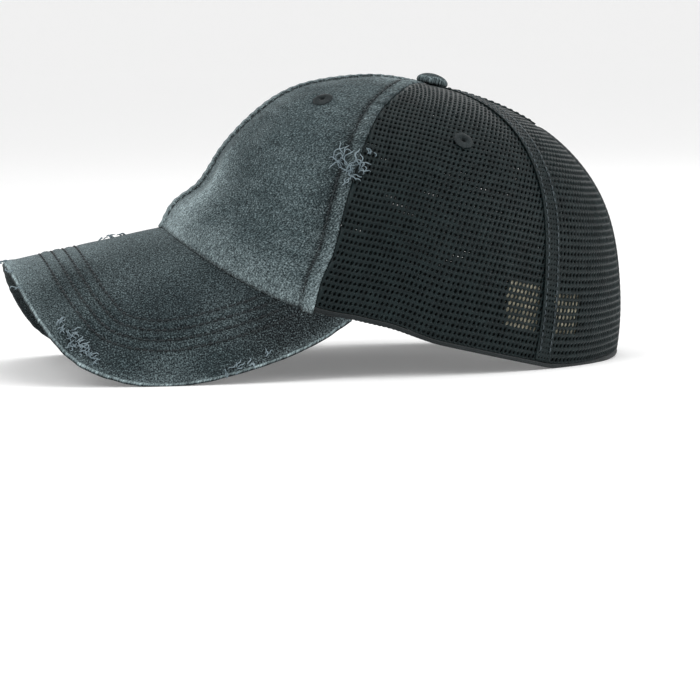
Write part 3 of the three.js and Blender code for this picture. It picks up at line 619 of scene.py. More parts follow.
def front_panel(side):
    name = sided("front_panel", side)
    ups = np.r_[np.linspace(0, 0.16, 34)[:-1], np.linspace(0.16, TIP_UP, 92)][:, None]
    shares = spaced(84, 0.62)[None, :]
    edge = front_seam(ups)
    trim = 0.1 / girth(edge, ups)
    angles = (edge - trim) * shares
    reach = girth(angles, ups)
    from_front = angles * girth(edge / 2, ups)
    from_seam = (edge - angles) * reach
    height = np.interp(ups, RISE_UP, rise_table(math.radians(33))) + 0 * angles
    ridge = 0.85 * (1 - smooth(from_front, CENTRE_RIDGE - 0.5, CENTRE_RIDGE + 0.3))
    ridge = ridge - 0.3 * np.exp(-((from_front - CENTRE_RIDGE - 0.3) / 0.7) ** 2)
    ridge = ridge - 0.45 * np.exp(-(from_front / 0.5) ** 2)
    strip = SEAM_RISE * (1 - smooth(from_seam, SEAM_STRIP - 0.8, SEAM_STRIP + 0.3))
    strip = strip - 0.55 * np.exp(-((from_seam - SEAM_STRIP - 0.2) / 0.8) ** 2)
    pucker = 0.22 * np.exp(-(from_seam / 9) ** 2) * np.sin(height * 2 * math.pi / 5.3)
    pucker = pucker + 0.16 * np.exp(-(from_front / 8) ** 2) * np.sin(height * 2 * math.pi / 4.4 + 1)
    slack = 0.5 * ripple(from_front, height, 34, 11 + side) + 0.16 * ripple(from_front, height, 11, 5)
    slack = slack * smooth(height, 0, 12) * smooth(from_front, 0, 12)
    eyelet_angle, eyelet_up = math.radians(EYELETS["front"][0]), EYELETS["front"][1]
    from_eyelet = np.hypot((angles - eyelet_angle) * reach, height - np.interp(
        eyelet_up, RISE_UP, rise_table(math.radians(33))))
    slack = slack * smooth(from_eyelet, 3, 10)
    fold = 1.0 * np.exp(-((from_front - 24 + 0.15 * height) / 4.5) ** 2)
    fold = fold * smooth(height, 4, 22) * (1 - smooth(height, 34, 62))
    hem_roll = 0.5 * np.exp(-(height / 1.6) ** 2)
    relief = ridge + strip + pucker + slack + fold + hem_roll
    relief = relief * (1 - smooth(ups, 0.955, TIP_UP)) + 0 * angles
    low = 1 - smooth(height, 16, 56)
    wear = 0.42 * np.exp(-((from_front - 1.6) / 1.4) ** 2)
    wear = wear + 0.42 * np.exp(-((from_front - 18) / 15) ** 2) * low
    # Painted highlight: the 0.30 * fold term lightens the waist fold's ridge.
    wear = wear + 0.28 * np.exp(-(height / 12) ** 2) + 0.30 * fold + 0.03
    wear = wear + 0.12 * np.exp(-((from_front - 9) / 8) ** 2) * smooth(height, 30, 70)
    wear = wear + 0.28 * np.exp(-((from_seam - 11) / 8) ** 2) * smooth(height, 108, 134)
    wear = wear + 0.10 * np.exp(-((from_seam - 3.0) / 2.0) ** 2)
    wear = wear + 0.20 * np.exp(-((from_seam - 1.0) / 1.0) ** 2) * (1 - smooth(height, 20, 55))
    wear = wear + 0.06 * ripple(from_front, height, 24, 31 + side)
    wear = wear + 0.05 * ripple(from_front, height, 9, 37 + side)
    shade = np.exp(-((from_seam - SEAM_STRIP - 0.7) / 1.35) ** 2)
    shade = shade + 0.42 * np.exp(-((from_seam - SEAM_STRIP - 3.5) / 4.5) ** 2) * smooth(
        height, 6, 40) * (1 - smooth(height, 88, 108))
    shade = shade + 0.8 * np.exp(-((from_front - CENTRE_RIDGE - 0.4) / 0.6) ** 2)
    shade = shade + 0.9 * np.exp(-(height / 1.1) ** 2)
    shade = shade + 0.40 * (1 - smooth(from_seam, SEAM_STRIP - 0.8, SEAM_STRIP)) * smooth(
        height, 18, 45) * (1 - smooth(height, 108, 128))
    uv = np.stack([from_front, height], -1)
    return finish_piece(
        crown_cloth(name + "_twill", angles, ups + 0 * angles, -relief, COTTON_WALL + relief * 0.6, uv,
                    {"wear": np.clip(wear, 0, 1), "shade": np.clip(shade, 0, 1)}, True, side,
                    (eyelet_angle, eyelet_up)),
        COTTON, "cotton", name)


# Mesh panels

def knit(name, side, centre, low_edge, high_edge, first_up, last_up, depth=0.0, thick=1.0,
         pitch=(HOLE_PITCH, ROW_PITCH), hole=(HOLE_WIDTH, HOLE_HEIGHT), skew=ROW_SKEW,
         material=None, nodes=(), slot="mesh", centre_rise=None, gap=None,
         back_shade=1.0):
    """Knitted net cut through by its holes, between two seams of the crown.

    Each hole narrows towards the inner face, except over the inner patch, where the holes
    are modelled wide so that the patch shows. gap: centre (angle, up) of a ventilation hole.
    """
    lengths = rise_table(centre_rise)
    start, stop = np.interp([first_up, last_up], RISE_UP, lengths)
    rows = round((stop - start) / pitch[1])
    row_step = (stop - start) / rows
    widest = 0.0
    for up in np.linspace(first_up, last_up, 12):
        middle = float(centre(up))
        span = (float(high_edge(up)) - float(low_edge(up))) * float(girth(middle, up))
        widest = max(widest, span)
    half_columns = int(widest / 2 / pitch[0] * 1.35) + rows // 2
    octagon = np.radians(np.arange(8) * 45 + 22.5)
    points, faces = [], []

    def locate(x, s):
        """Angle and share of the way up for cloth coordinates, kept inside the seams."""
        up = np.interp(s, lengths, RISE_UP)
        middle = centre(up)
        angle = middle + x / girth(middle, up)
        return np.clip(angle, low_edge(up), high_edge(up)), up, angle

    def add(x, s, level):
        first = len(points)
        points.extend(zip(x, s, level))
        return np.arange(first, first + len(x))

    columns = np.arange(-half_columns, half_columns + 1)
    grid = {}

    def corner(i, j, back):
        """Shared points between cells, on a grid of half steps."""
        key = (i, j, back)
        if key not in grid:
            x = (i / 2 + skew * j / 2) * pitch[0]
            grid[key] = len(points)
            points.append((x, start + j / 2 * row_step, back))
        return grid[key]

    ring_steps = ((2, 1), (2, 2), (1, 2), (0, 2), (0, 1), (0, 0), (1, 0), (2, 0))
    for j in range(rows):
        s_mid = start + (j + 0.5) * row_step
        x_mid = (columns + 0.5 + skew * (j + 0.5)) * pitch[0]
        _, up, free = locate(x_mid, np.full(len(columns), s_mid))
        reach = girth(centre(up), up)
        low, high = low_edge(up), high_edge(up)
        room = np.minimum(free - low, high - free) * reach
        over = np.maximum(np.maximum(low - free, free - high), 0) * reach
        wide_open = over_patch(side, free, up)
        for k, i in enumerate(columns):
            if over[k] > pitch[0] * 0.48:
                continue
            cell = [(2 * i + a, 2 * j + b) for a, b in ring_steps]
            front = [corner(a, b, 0) for a, b in cell]
            back = [corner(a, b, 1) for a, b in cell]
            if gap is not None:
                from_gap = math.hypot((free[k] - gap[0]) * reach[k],
                                      s_mid - np.interp(gap[1], RISE_UP, lengths))
                if from_gap < NET_VENT_RADIUS:
                    continue
            if room[k] < pitch[0] * 0.44:
                faces.append(front)
                faces.append(back[::-1])
                continue
            wobble = 1 + 0.10 * rng.standard_normal(2)
            lean = 0.16 * hole[1]
            hx = x_mid[k] + 0.5 * hole[0] * wobble[0] * np.cos(octagon) + lean * np.sin(octagon)
            hs = s_mid + 0.5 * hole[1] * wobble[1] * np.sin(octagon)
            narrow = INNER_RING_AT_PATCH if wide_open[k] else INNER_RING
            lip = add(hx, hs, np.full(8, 0.3))
            ring = add(x_mid[k] + (hx - x_mid[k]) * narrow, s_mid + (hs - s_mid) * narrow,
                       np.full(8, 0.85))
            for q in range(8):
                r = (q + 1) % 8
                faces.append([front[q], front[r], lip[r], lip[q]])
                faces.append([lip[q], lip[r], ring[r], ring[q]])
                faces.append([back[r], back[q], ring[q], ring[r]])
    data = np.array(points)
    angle, up, _ = locate(data[:, 0], data[:, 1])
    places = layer(angle, up, depth + data[:, 2] * thick)
    sag = 0.30 * ripple(data[:, 0], data[:, 1], 42, 17)
    places = places + crown_normal(angle, up) * sag[:, None]
    places[:, 0] *= side
    faces = [face if side > 0 else face[::-1] for face in faces]
    faces += border_faces(faces, data[:, 2], grid)
    # Painted shade: the hole walls darken towards the inner ring, and the inner face takes back_shade.
    painted_recess_shade = smooth(data[:, 2], 0.12, 0.8)
    painted_recess_shade[data[:, 2] == 1] = back_shade
    piece = make_mesh(name + "_knit", places, faces, data[:, :2], {"shade": painted_recess_shade})
    return finish_piece(piece, material or NET, slot, *nodes)


def over_patch(side, angle, up):
    """Which places on the mesh lie over the inner patch."""
    seam = rear_seam(up)
    length = np.interp(up, RISE_UP, SEAM_LENGTH)
    across = (angle - seam) * girth(seam, up) - PATCH_OFF_SEAM
    above = length - PATCH_ABOVE_HEM
    over = (np.abs(across) < PATCH_WIDTH / 2) & (0 < above) & (above < PATCH_HEIGHT)
    return over & (side > 0)


def border_faces(faces, level, grid):
    """Strips that close the cut edges of a net between its outer and its inner points."""
    partner = {}
    for (i, j, back), index in grid.items():
        other = grid.get((i, j, 1 - back))
        if other is not None:
            partner[index] = other
    used = {}
    for face in faces:
        for a, b in zip(face, list(face[1:]) + [face[0]]):
            used[(a, b)] = used.get((a, b), 0) + 1
    strips = []
    for (a, b) in used:
        outer = level[a] == 0 and level[b] == 0
        if outer and (b, a) not in used and a in partner and b in partner:
            strips.append([b, a, partner[a], partner[b]])
    return strips


def side_panel(side):
    name = sided("side_panel", side)
    return knit(
        name, side,
        centre=lambda up: (front_seam(up) + rear_seam(up)) / 2,
        low_edge=lambda up: front_seam(up) + 0.3 / girth(front_seam(up), up),
        high_edge=lambda up: rear_seam(up) - 0.1 / girth(rear_seam(up), up),
        first_up=0.006, last_up=TIP_UP - 0.01, centre_rise=math.radians(95), nodes=(name,),
        gap=(math.radians(EYELETS["side"][0]), EYELETS["side"][1]))


def rear_panel(side):
    name = sided("rear_panel", side)
    return knit(
        name, side,
        centre=lambda up: (rear_seam(up) + math.pi) / 2,
        low_edge=lambda up: rear_seam(up) + 0.1 / girth(rear_seam(up), up),
        high_edge=back_edge,
        first_up=0.006, last_up=TIP_UP - 0.01, centre_rise=math.radians(152), nodes=(name,))


# Stitches: small lozenges of thread laid along a path

def stitches(name, paths, material, slot, width=0.62, rise=0.42, length=STITCH_LENGTH,
             pitch=STITCH_PITCH):
    """paths: list of (points, normals), each a run of stitches end to end."""
    points, faces = [], []
    ring = np.radians(np.arange(6) * 60)
    for line, normals in paths:
        steps = np.r_[0, np.cumsum(np.linalg.norm(np.diff(line, axis=0), axis=1))]
        count = int(steps[-1] // pitch)
        for k in range(count):
            middle = (k + 0.5) * pitch + rng.normal(0, 0.12)
            ends = np.array([middle - length / 2, middle - length / 4, middle,
                             middle + length / 4, middle + length / 2])
            place = np.stack([np.interp(ends, steps, line[:, c]) for c in range(3)], -1)
            out = np.array([np.interp(middle, steps, normals[:, c]) for c in range(3)])
            out /= np.linalg.norm(out)
            along = place[-1] - place[0]
            along /= np.linalg.norm(along) + 1e-9
            across = np.cross(along, out)
            place = place + across * rng.normal(0, 0.07)
            first = len(points)
            for row, (swell, lift) in enumerate(((0.45, -0.35), (0.95, 0.1), (1.0, 0.16),
                                                 (0.95, 0.1), (0.45, -0.35))):
                for turn in ring:
                    points.append(place[row] + across * math.cos(turn) * width / 2 * swell
                                  + out * (math.sin(turn) * rise / 2 * swell + lift))
            for row in range(4):
                for q in range(6):
                    a = first + row * 6 + q
                    b = first + row * 6 + (q + 1) % 6
                    faces.append([a, b, b + 6, a + 6])
            faces.append([first + q for q in range(5, -1, -1)])
            faces.append([first + 24 + q for q in range(6)])
    piece = make_mesh(name, np.array(points), faces)
    return finish_piece(piece, material, slot)


def crown_line(angle_of, ups, lift, side=1):
    """Path up the crown, raised by a lift, for a run of stitches."""
    angles = angle_of(ups)
    places = layer(angles, ups, np.full(len(ups), -lift))
    normals = crown_normal(angles, ups)
    places[:, 0] *= side
    normals[:, 0] *= side
    return places, normals


# Peak

def visor_pattern(x, y):
    drop = np.interp(np.abs(x), ARCH_SIDEWAYS, ARCH_DROP)
    along = np.sign(x) * np.interp(np.abs(x), ARCH_SIDEWAYS, ARCH_ALONG)
    return np.stack([along, (-CROWN_FRONT - y + drop * math.sin(VISOR_PITCH))
                     / math.cos(VISOR_PITCH)], -1)


def visor_point(pattern, depth):
    along = np.abs(pattern[..., 0])
    sign = np.sign(pattern[..., 0])
    slope = arch_slope(along)
    drop = np.interp(along, ARCH_ALONG, ARCH_DROP) + depth * np.cos(slope)
    sideways = np.interp(along, ARCH_ALONG, ARCH_SIDEWAYS) - depth * np.sin(slope)
    return np.stack([
        sign * sideways,
        -CROWN_FRONT - pattern[..., 1] * math.cos(VISOR_PITCH) + drop * math.sin(VISOR_PITCH),
        VISOR_FRONT_HEIGHT - pattern[..., 1] * math.sin(VISOR_PITCH)
        - drop * math.cos(VISOR_PITCH),
    ], -1)


def hem_pattern(angle, inset):
    out = np.stack([np.sin(angle) / CROWN_HALF_WIDTH, -np.cos(angle) / CROWN_FRONT], -1)
    out /= np.linalg.norm(out, axis=-1, keepdims=True)
    return visor_pattern(CROWN_HALF_WIDTH * np.sin(angle) - inset * out[..., 0],
                         -CROWN_FRONT * np.cos(angle) - inset * out[..., 1])


def visor_edge(count):
    """Outer edge on the pattern, by the same uniform spline as the solid's."""
    half = VISOR_EDGE * np.array([VISOR_HALF_WIDTH, VISOR_LENGTH])
    half = np.vstack([half, hem_pattern(np.array(VISOR_END_ANGLE), 0)])
    knots = np.vstack([half[:0:-1] * np.array([-1, 1]), half])
    padded = np.vstack([knots[:1], knots, knots[-1:]])
    at = np.linspace(0, len(knots) - 1, count)
    i = np.minimum(at.astype(int), len(knots) - 2)
    s = (at - i)[:, None]
    p0, p1, p2, p3 = padded[i], padded[i + 1], padded[i + 2], padded[i + 3]
    v0, v1 = (p2 - p0) / 2, (p3 - p1) / 2
    return ((2 * p1 - 2 * p2 + v0 + v1) * s**3 + (-3 * p1 + 3 * p2 - 2 * v0 - v1) * s**2
            + v0 * s + p1)


def edge_distance(places, edge):
    """Distance from pattern places to the outer edge."""
    flat = places.reshape(-1, 2)
    best = np.full(len(flat), 1e9)
    for a, b in zip(edge[:-1], edge[1:]):
        run = b - a
        t = np.clip(((flat - a) @ run) / (run @ run), 0, 1)
        best = np.minimum(best, np.linalg.norm(flat - a - t[:, None] * run, axis=1))
    return best.reshape(places.shape[:-1])


def visor():
    stations, rows, clear_of_joint = 300, 84, 60.0
    edge = visor_edge(stations)
    angles = np.linspace(-VISOR_END_ANGLE, VISOR_END_ANGLE, stations)
    inner = hem_pattern(angles, VISOR_TUCK)
    rim = VISOR_THICKNESS / 2
    reach = np.linspace(0, 1, rows)[:, None, None]
    across = edge - inner
    length = np.linalg.norm(across, axis=1, keepdims=True)
    flat = inner + across * reach * ((length - rim) / length)
    away = edge_distance(flat, edge)
    groove = sum(np.exp(-((away - row) / 0.75) ** 2) for row in VISOR_ROWS)
    puff = 0.26 * np.sin(np.clip((away - VISOR_ROWS[0]) / 5.2, 0, 3) * math.pi) ** 2
    pinch = np.sin(np.arange(stations) * 2 * math.pi / 5.0 + 1.3 * np.arange(rows)[:, None])
    puff = puff * (1 + 0.35 * pinch)
    slack = 0.30 * ripple(flat[..., 0], flat[..., 1], 26, 3) + 0.12 * ripple(
        flat[..., 0], flat[..., 1], 8, 4)
    calm = smooth(away, 0.5, 6)
    relief = puff - 0.42 * groove + slack * calm * 0.6
    relief = relief + 0.35 * np.exp(-((away - 3.0) / 2.0) ** 2)
    top = visor_point(flat, -relief)
    under = visor_point(flat, VISOR_THICKNESS + 0.15 * slack * calm - 0.25 * groove)
    turns = np.linspace(0, math.pi, 9)[1:-1]
    rough_edge = 0.18 * ripple(np.arange(stations) * 1.4, 0 * angles, 9, 21)
    unit = across / length
    round_rows = [visor_point(edge + unit * (rim * (math.sin(turn) - 1) + rough_edge)[:, None],
                              rim * (1 - math.cos(turn)) * np.ones(stations)) for turn in turns]
    loops = np.concatenate([top, np.array(round_rows), under[::-1]])
    turned = np.concatenate([away, np.zeros((len(turns), stations)), away[::-1]])
    count = loops.shape[0]
    ring_uv = np.concatenate([flat, np.array([edge] * len(turns)), flat[::-1]])
    drop = np.zeros_like(turned)
    drop[rows:rows + len(turns)] = np.sin(turns / 2)[:, None]
    drop[rows + len(turns):] = 1
    patchy = np.clip(0.5 + 0.5 * ripple(ring_uv[..., 0], ring_uv[..., 1], 14, 8), 0, 1)
    top_side = 1 - smooth(drop, 0.3, 0.6)
    wear = 0.80 * np.exp(-(turned / 0.6) ** 2) + 0.13 * np.exp(-((turned - 1.5) / 2.6) ** 2)
    wear = wear * (0.40 + 0.75 * patchy)
    front = np.exp(-((ring_uv[..., 1] - VISOR_LENGTH) / 20) ** 2)
    centre = np.exp(-(ring_uv[..., 0] / 34) ** 2)
    wear = wear + (0.14 + 0.18 * patchy) * front * centre + 0.25 * centre + 0.03
    wear = wear + 0.07 * ripple(ring_uv[..., 0], ring_uv[..., 1], 30, 9)
    wear = wear * top_side
    shade = 0.85 * sum(np.exp(-((turned - row) / 0.85) ** 2) for row in VISOR_ROWS)
    from_joint = np.concatenate([
        reach[..., 0] * (length - rim)[:, 0] - VISOR_TUCK,
        np.full((len(turns) + rows, stations), clear_of_joint)])
    shade = shade + 0.9 * np.exp(-(from_joint / 1.4) ** 2) + 0.3 * np.exp(-(from_joint / 7) ** 2)
    shade = shade + 0.5 * smooth(drop, 0.5, 1.0)
    shade = shade + 0.85 * smooth(np.abs(ring_uv[..., 0]), 66, 96) * smooth(
        -ring_uv[..., 1], -6, 34)
    for along, forward, spread in TORN_SPOTS:
        away_spot = np.hypot(ring_uv[..., 0] - along, ring_uv[..., 1] - forward)
        shade = shade + 0.9 * np.exp(-(away_spot / spread) ** 2) * top_side
    index = np.arange(count * stations).reshape(count, stations)
    nxt = np.roll(index, -1, axis=0)
    a, b = index[:, :-1], index[:, 1:]
    c, d = nxt[:, 1:], nxt[:, :-1]
    faces = np.stack([a, b, c, d], -1).reshape(-1, 4).tolist()
    for end, flip in ((0, False), (stations - 1, True)):
        for k in range(count // 2 - 1):
            quad = [index[k, end], index[k + 1, end], index[count - 2 - k, end],
                    index[count - 1 - k, end]]
            if len(set(quad)) == 4:
                faces.append(quad[::-1] if flip else quad)
    piece = make_mesh("visor_cloth", loops.reshape(-1, 3), faces, ring_uv.reshape(-1, 2),
                      {"wear": np.clip(wear, 0, 1).ravel(), "shade": np.clip(shade, 0, 1).ravel()})
    finish_piece(piece, COTTON_DARK, "cotton", "visor")
    visor_stitches(edge)


def visor_stitches(edge):
    steps = np.linalg.norm(np.diff(edge, axis=0), axis=1)
    along = np.r_[0, np.cumsum(steps)]
    run = np.linspace(0, along[-1], 700)
    fine = np.stack([np.interp(run, along, edge[:, c]) for c in (0, 1)], -1)
    tangent = np.gradient(fine, axis=0)
    tangent /= np.linalg.norm(tangent, axis=1, keepdims=True)
    inward = np.stack([tangent[:, 1], -tangent[:, 0]], -1)
    over, below = [], []
    for row in VISOR_ROWS:
        line = fine + inward * row
        true = edge_distance(line, edge) > row - 0.05
        place = visor_point(line, np.zeros(len(line)))
        plan = np.hypot(place[:, 0] / CROWN_HALF_WIDTH, place[:, 1] / CROWN_FRONT)
        keep = true & (plan > 1.012)
        line = line[keep]
        slope = arch_slope(line[:, 0])
        normal = np.stack([np.sign(line[:, 0]) * np.sin(slope),
                           -math.sin(VISOR_PITCH) * np.cos(slope),
                           math.cos(VISOR_PITCH) * np.cos(slope)], -1)
        over.append((visor_point(line, np.full(len(line), 0.22)), normal))
        below.append((visor_point(line, np.full(len(line), VISOR_THICKNESS - 0.1)), -normal))
    stitches("visor_stitches", over, DARK_THREAD, "stitching", width=0.95, rise=0.7)
    stitches("visor_stitches_under", below, DARK_THREAD, "stitching", width=0.6, rise=0.45)


# Seams, bindings and the pieces inside

def up_at(table, length):
    return np.interp(length, table, RISE_UP)


def band_net(ups, lows, highs, columns, ease=0.0):
    shares = spaced(columns, ease)[None, :]
    return lows[:, None] + (highs - lows)[:, None] * shares


def rear_seam_band(side):
    """Folded mesh over the seam between the side and the rear panel."""
    name = sided("rear_seam_band", side)
    half = 4.1
    knit(name, side, centre=rear_seam,
         low_edge=lambda up: rear_seam(up) - half / girth(rear_seam(up), up),
         high_edge=lambda up: rear_seam(up) + half / girth(rear_seam(up), up),
         first_up=0.008, last_up=TIP_UP - 0.015, depth=-0.62, thick=0.55,
         pitch=(1.62, 2.2), hole=(0.86, 1.15), skew=0.0, material=NET_TRIM, slot="trim",
         centre_rise=math.radians(REAR_SEAM_ANGLE), back_shade=0.2)


def centre_back_band():
    """Folded mesh over the seam above the opening."""
    half = 3.6
    knit("centre_back_band", 1, centre=lambda up: math.pi + 0 * up,
         low_edge=lambda up: math.pi - half / girth(math.pi, up),
         high_edge=lambda up: math.pi + half / girth(math.pi, up),
         first_up=float(up_at(REAR_LENGTH, SLIT_TOP + 2.5)), last_up=TIP_UP - 0.015,
         depth=-0.62, thick=0.55, pitch=(1.62, 2.2), hole=(0.72, 0.95), skew=0.0,
         material=NET_TRIM, slot="trim", centre_rise=math.pi, back_shade=0.2)


def hem_edge(side):
    """Turned edge along the bottom of the mesh, from the cotton to the opening."""
    name = sided("hem_edge", side)
    height = np.array([0.1, 0.2, 0.5, 0.9, 1.3, 1.7, 2.0])
    ups = up_at(SEAM_LENGTH, height)
    angles = band_net(ups, front_seam(ups) + 0.002, back_edge(ups) - 0.002, 260)
    grid_up = ups[:, None] + 0 * angles
    along = angles * CROWN_REAR
    bulge = 0.4 * np.sin(np.clip(height / 2.0, 0, 1) * math.pi) ** 0.6
    weave = 0.09 * np.sin(along * 2 * math.pi / 2.1)
    relief = bulge[:, None] + weave + 0.12
    uv = np.stack([along, height[:, None] + 0 * along], -1)
    piece = crown_cloth(name, angles, grid_up, -relief, MESH_WALL + relief + 0.35, uv, None, True,
                        side)
    return finish_piece(piece, NET_TRIM_CLOTH, "trim")


def seam_tape(side):
    name = sided("seam_tape", side)
    ups = np.linspace(0.004, 0.955 * TIP_UP, 150)
    half = TAPE_WIDTH / 2 / girth(rear_seam(ups), ups)
    angles = band_net(ups, rear_seam(ups) - half, rear_seam(ups) + half, 11)
    across = (angles - rear_seam(ups)[:, None]) * girth(rear_seam(ups), ups)[:, None]
    length = np.interp(ups, RISE_UP, SEAM_LENGTH)[:, None] + 0 * across
    pull = 0.12 * np.sin(length * 2 * math.pi / 4.2) * np.abs(across) / 4
    uv = np.stack([across, length], -1)
    piece = crown_cloth(name + "_woven", angles, ups[:, None] + 0 * angles,
                        TAPE_DEPTH + 0.05 + pull * 0.3,
                        TAPE_THICKNESS - 0.1 + pull * 0.5, uv, None, True, side)
    return finish_piece(piece, TAPE, "trim", name)


def inner_patch():
    """Woven patch inside the left side, seen through the mesh."""
    length = np.linspace(PATCH_ABOVE_HEM, PATCH_ABOVE_HEM + PATCH_HEIGHT, 61)
    ups = up_at(SEAM_LENGTH, length)
    reach = girth(rear_seam(ups), ups)
    middle = rear_seam(ups) + PATCH_OFF_SEAM / reach
    half = PATCH_WIDTH / 2 / reach
    angles = band_net(ups, middle - half, middle + half, 70)
    across = (angles - middle[:, None]) * reach[:, None]
    rib = 0.14 * np.abs(np.sin(length * math.pi / 2.5))[:, None] + 0 * across
    uv = np.stack([across, length[:, None] + 0 * across], -1)
    stripe = np.clip(np.sin(length * 2 * math.pi / 5.0) * 1.6, 0, 1)[:, None] + 0 * across
    near_seam = smooth(np.abs(across + PATCH_OFF_SEAM), TAPE_WIDTH / 2 + 0.4, TAPE_WIDTH / 2 + 2.4)
    rise = 1.05 * near_seam
    piece = crown_cloth("inner_patch_woven", angles, ups[:, None] + 0 * angles,
                        PATCH_DEPTH + 0.15 - rib - rise, PATCH_THICKNESS - 0.2 + rib + rise, uv,
                        {"shade": 0.3 * stripe})
    return finish_piece(piece, TAN, "patch", "inner_patch")


def sweatband():
    """Padded twill band inside the hem, with a turned and stitched upper edge."""
    top = float(up_at(SEAM_LENGTH, SWEATBAND_HEIGHT))
    ups = np.linspace(0, top, 42)
    end = math.pi - SLIT_HALF_WIDTH_AT_HEM / girth(math.pi, ups)
    angles = band_net(ups, -end, end, 420)
    along = angles * 90.0
    height = np.interp(ups, RISE_UP, SEAM_LENGTH)[:, None] + 0 * along
    gather = 0.16 * np.sin(along * 2 * math.pi / 5.6) * np.exp(-((height - 24.5) / 3.0) ** 2)
    groove = 0.35 * np.exp(-((height - 24.6) / 0.5) ** 2) + 0.30 * np.exp(-((height - 4) / 0.6) ** 2)
    pad = 0.10 * ripple(along, height, 16, 51)
    uv = np.stack([along, height], -1)
    zero = np.zeros_like(along)
    piece = crown_cloth("sweatband_twill", angles, ups[:, None] + zero, SWEATBAND_DEPTH + zero,
                        SWEATBAND_THICKNESS + gather + pad - groove, uv,
                        {"wear": 0.06 + zero, "shade": 0.6 * np.exp(-((height - 24.6) / 0.6) ** 2)},
                        True)
    finish_piece(piece, BAND, "trim", "sweatband")
    paths = []
    for level in (24.6, 4.0):
        up = float(up_at(SEAM_LENGTH, level))
        turn = np.linspace(-2.95, 2.95, 1200)
        inner = SWEATBAND_DEPTH + SWEATBAND_THICKNESS - 0.15
        paths.append((layer(turn, np.full(1200, up), np.full(1200, inner)),
                      -crown_normal(turn, np.full(1200, up))))
    stitches("sweatband_stitches", paths, GREY_THREAD, "stitching", width=0.6, rise=0.4)


def opening_binding():
    """Gathered elastic round the ponytail opening."""
    length = SLIT_TOP * np.sin(np.linspace(0, math.pi / 2, 260))
    half = np.stack([slit_half_width(length), length], -1)
    edge = np.concatenate([half, half[-2::-1] * np.array([-1, 1])])
    steps = np.r_[0, np.cumsum(np.linalg.norm(np.diff(edge, axis=0), axis=1))]
    even = np.linspace(0, steps[-1], 620)
    path = np.stack([np.interp(even, steps, edge[:, c]) for c in (0, 1)], -1)
    tangent = np.gradient(path, axis=0)
    tangent /= np.linalg.norm(tangent, axis=1, keepdims=True)
    inset = BINDING_CLEARANCE + BINDING_WIDTH / 2 - BINDING_GRIP
    path = path + np.stack([-tangent[:, 1], tangent[:, 0]], -1) * inset
    path[:, 1] = np.maximum(path[:, 1], 0.35)
    ups = up_at(REAR_LENGTH, path[:, 1])
    angles = math.pi - path[:, 0] / girth(math.pi, ups)
    middle = layer(angles, ups, np.full(len(ups), MESH_WALL / 2))
    out = crown_normal(angles, ups)
    along = np.gradient(middle, axis=0)
    along /= np.linalg.norm(along, axis=1, keepdims=True)
    across = np.cross(along, out)
    ring = 18
    turn = np.linspace(0, 2 * math.pi, ring, endpoint=False)[None, :]
    gather = 1 + 0.10 * np.sin(even * 2 * math.pi / 2.6)[:, None] * (0.6 + 0.4 * np.cos(2 * turn))
    gather = gather - 0.10 * np.exp(-((np.cos(turn) - 0.75) / 0.12) ** 2)
    half_wide = BINDING_WIDTH / 2 + BINDING_GRIP
    wide = half_wide * np.sign(np.cos(turn)) * np.abs(np.cos(turn)) ** 0.75 * gather
    deep = BINDING_THICKNESS / 2 * np.sign(np.sin(turn)) * np.abs(np.sin(turn)) ** 0.8 * gather
    net = (middle[:, None, :] + across[:, None, :] * wide[..., None]
           + out[:, None, :] * deep[..., None])
    points = net.reshape(-1, 3)
    faces = []
    for i in range(len(even) - 1):
        for k in range(ring):
            a, b = i * ring + k, i * ring + (k + 1) % ring
            faces.append((a, b, b + ring, a + ring))
    faces.append(tuple(range(ring - 1, -1, -1)))
    faces.append(tuple((len(even) - 1) * ring + k for k in range(ring)))
    uv = np.stack([np.broadcast_to(np.arange(ring) * 0.6, (len(even), ring)),
                   np.broadcast_to(even[:, None], (len(even), ring))], -1).reshape(-1, 2)
    piece = make_mesh("opening_binding_elastic", points, faces, uv)
    return finish_piece(piece, ELASTIC, "trim", "opening_binding")


